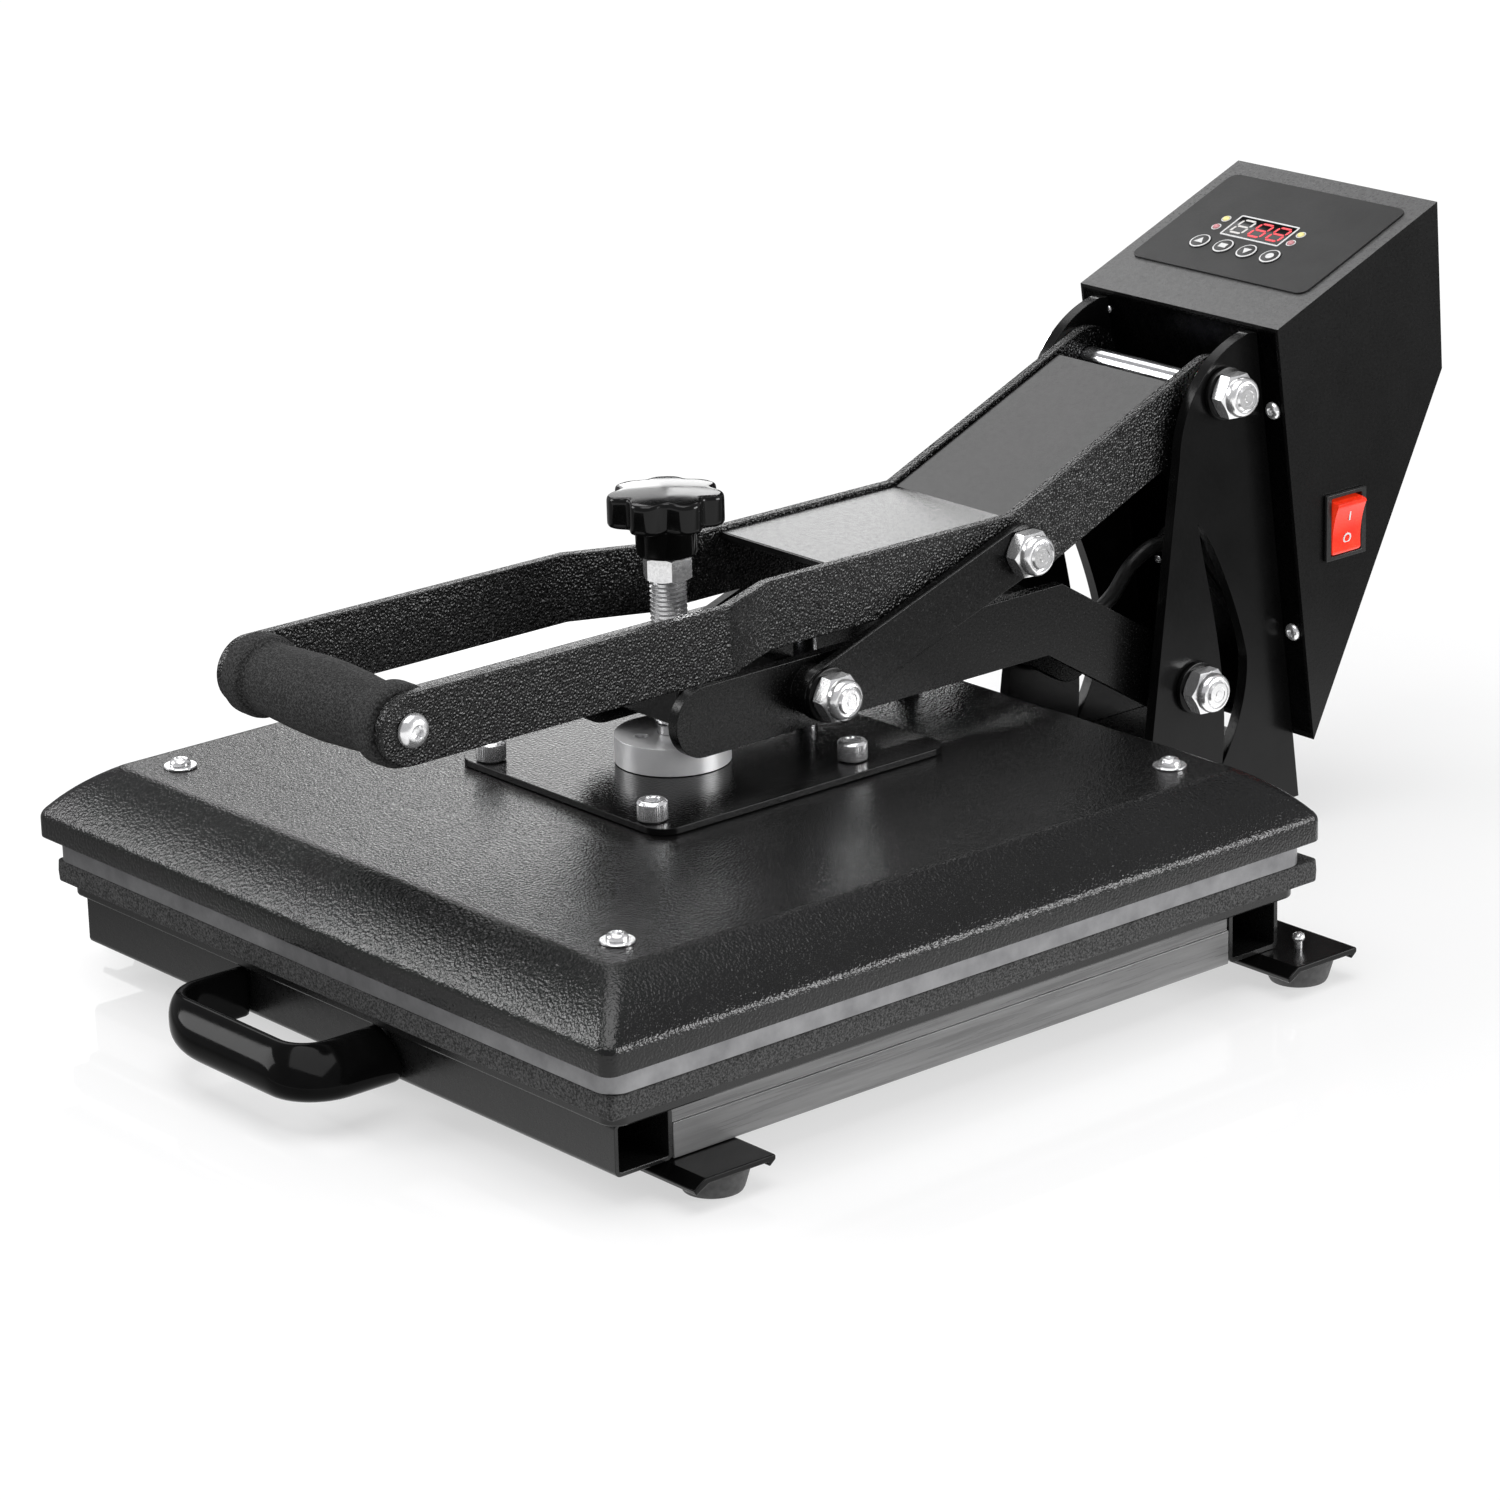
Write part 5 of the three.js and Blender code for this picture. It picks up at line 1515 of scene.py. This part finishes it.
def build_floor():
    """A white table. The camera sees it white, with a faint reflection close to the press. What
    the press reflects of it glows: near the press more to the right, beyond it more in front."""
    size = FLOOR_SIZE
    corners = [(-size, -size, 0), (size, -size, 0), (size, size, 0), (-size, size, 0)]
    mesh = bpy.data.meshes.new("floor")
    mesh.from_pydata(corners, [], [(0, 1, 2, 3)])
    floor = bpy.data.objects.new("floor", mesh)
    floor.location.z = -FLOOR_DROP
    bpy.context.scene.collection.objects.link(floor)
    n = Nodes("pale_floor").tint(2, 2, 0.84, 0.86).matte(5, 2, 0.03, 0.05)

    def towards(direction):
        node = n.add("ShaderNodeVectorMath", operation="DOT_PRODUCT")
        n.link(n.place, node.inputs[0])
        node.inputs[1].default_value = direction
        return node.outputs["Value"]

    def glow(strength):
        node = n.add("ShaderNodeEmission")
        node.inputs["Strength"].default_value = strength
        return node

    def mixed(factor, first, second):
        node = n.add("ShaderNodeMixShader")
        n.link(factor, node.inputs["Fac"])
        n.link(first.outputs[0], node.inputs[1])
        n.link(second.outputs[0], node.inputs[2])
        return node

    reach = n.add("ShaderNodeVectorMath", operation="LENGTH")
    n.link(n.stretched((1 / 0.42, 1 / 0.50, 1)), reach.inputs[0])
    half_reach = n.math("MULTIPLY", reach.outputs["Value"], 0.5)
    close = n.ramp(n.math("ADD", towards((0.72, 0.69, 0)), 0.5), 0.05, 0.58, 0.24, 1.0)
    beyond = n.ramp(n.math("ADD", towards((0.75, -0.66, 0)), 0.2), 0.35, 0.62, 0.22, 0.85)
    reflected = glow(1.3)
    n.link(n.mix(n.ramp(half_reach, 0.40, 0.60, 0.0, 1.0), close, beyond), reflected.inputs["Color"])
    seen = mixed(n.ramp(half_reach, 0.42, 0.72, 0.45, 0.0), glow(1.05), n.shader)
    path = n.add("ShaderNodeLightPath")
    surface = mixed(path.outputs["Is Camera Ray"], reflected, seen)
    n.link(surface.outputs[0], n.tree.nodes["Material Output"].inputs["Surface"])
    mesh.materials.append(n.material)


SOFTBOX_AIM = Vector((0, 0, 0.1))


def softbox(name, place, size, brightness):
    data = bpy.data.lights.new(name, "AREA")
    data.shape = "RECTANGLE"
    data.size, data.size_y = size
    data.energy = brightness * math.pi * size[0] * size[1]
    light = bpy.data.objects.new(name, data)
    bpy.context.scene.collection.objects.link(light)
    light.location = place
    direction = SOFTBOX_AIM - Vector(place)
    light.rotation_euler = direction.to_track_quat("-Z", "Y").to_euler()


def build_lights():
    for box in (
        ("overhead", (0.2, -0.4, 2.2), (1.9, 1.9), 3.4),
        ("back_left", (-2.68, 1.44, 1.05), (1.0, 1.1), 1.8),
        ("back_low", (-2.33, 1.86, 0.72), (0.55, 0.5), 3.6),
        ("lever_top", (-2.28, 2.14, 1.34), (0.55, 0.45), 4.2),
        ("front_left", (-2.0, -1.75, 1.4), (1.3, 1.2), 7.5),
        ("lid", (-2.05, 0.78, 2.05), (1.1, 1.0), 2.3),
        ("crease", (-1.1, 1.7, 1.95), (0.5, 0.4), 2.5),
        ("right_back", (1.87, 1.36, 0.60), (1.3, 0.7), 13),
    ):
        softbox(*box)


DARK_CARD = Vector((-0.65, 0.70, 0.30)).normalized()


def build_world():
    """White behind the press, and for what it reflects a grey room with a dark card behind."""
    world = bpy.data.worlds.new("studio")
    bpy.context.scene.world = world
    world.use_nodes = True
    tree = world.node_tree
    tree.nodes.clear()
    out = tree.nodes.new("ShaderNodeOutputWorld")
    mix = tree.nodes.new("ShaderNodeMixShader")
    path = tree.nodes.new("ShaderNodeLightPath")
    direction = tree.nodes.new("ShaderNodeTexCoord")
    dot = tree.nodes.new("ShaderNodeVectorMath")
    dot.operation = "DOT_PRODUCT"
    dot.inputs[1].default_value = DARK_CARD
    ramp = tree.nodes.new("ShaderNodeValToRGB")
    ramp.color_ramp.elements[0].position = 0.74
    ramp.color_ramp.elements[0].color = (0.42, 0.42, 0.43, 1)
    ramp.color_ramp.elements[1].position = 0.92
    ramp.color_ramp.elements[1].color = (0.04, 0.04, 0.042, 1)
    room = tree.nodes.new("ShaderNodeBackground")
    seen = tree.nodes.new("ShaderNodeBackground")
    seen.inputs["Color"].default_value = (1, 1, 1, 1)
    tree.links.new(direction.outputs["Generated"], dot.inputs[0])
    tree.links.new(dot.outputs["Value"], ramp.inputs["Fac"])
    tree.links.new(ramp.outputs["Color"], room.inputs["Color"])
    tree.links.new(path.outputs["Is Camera Ray"], mix.inputs["Fac"])
    tree.links.new(room.outputs["Background"], mix.inputs[1])
    tree.links.new(seen.outputs["Background"], mix.inputs[2])
    tree.links.new(mix.outputs["Shader"], out.inputs["Surface"])


# ---- Whole press ----
build_base()
build_linkage()
build_fasteners()
build_platen()
build_spindle()
build_knob()
build_box()
build_cable()
build_floor()
build_lights()
build_world()
bpy.context.scene.view_settings.view_transform = "Standard"
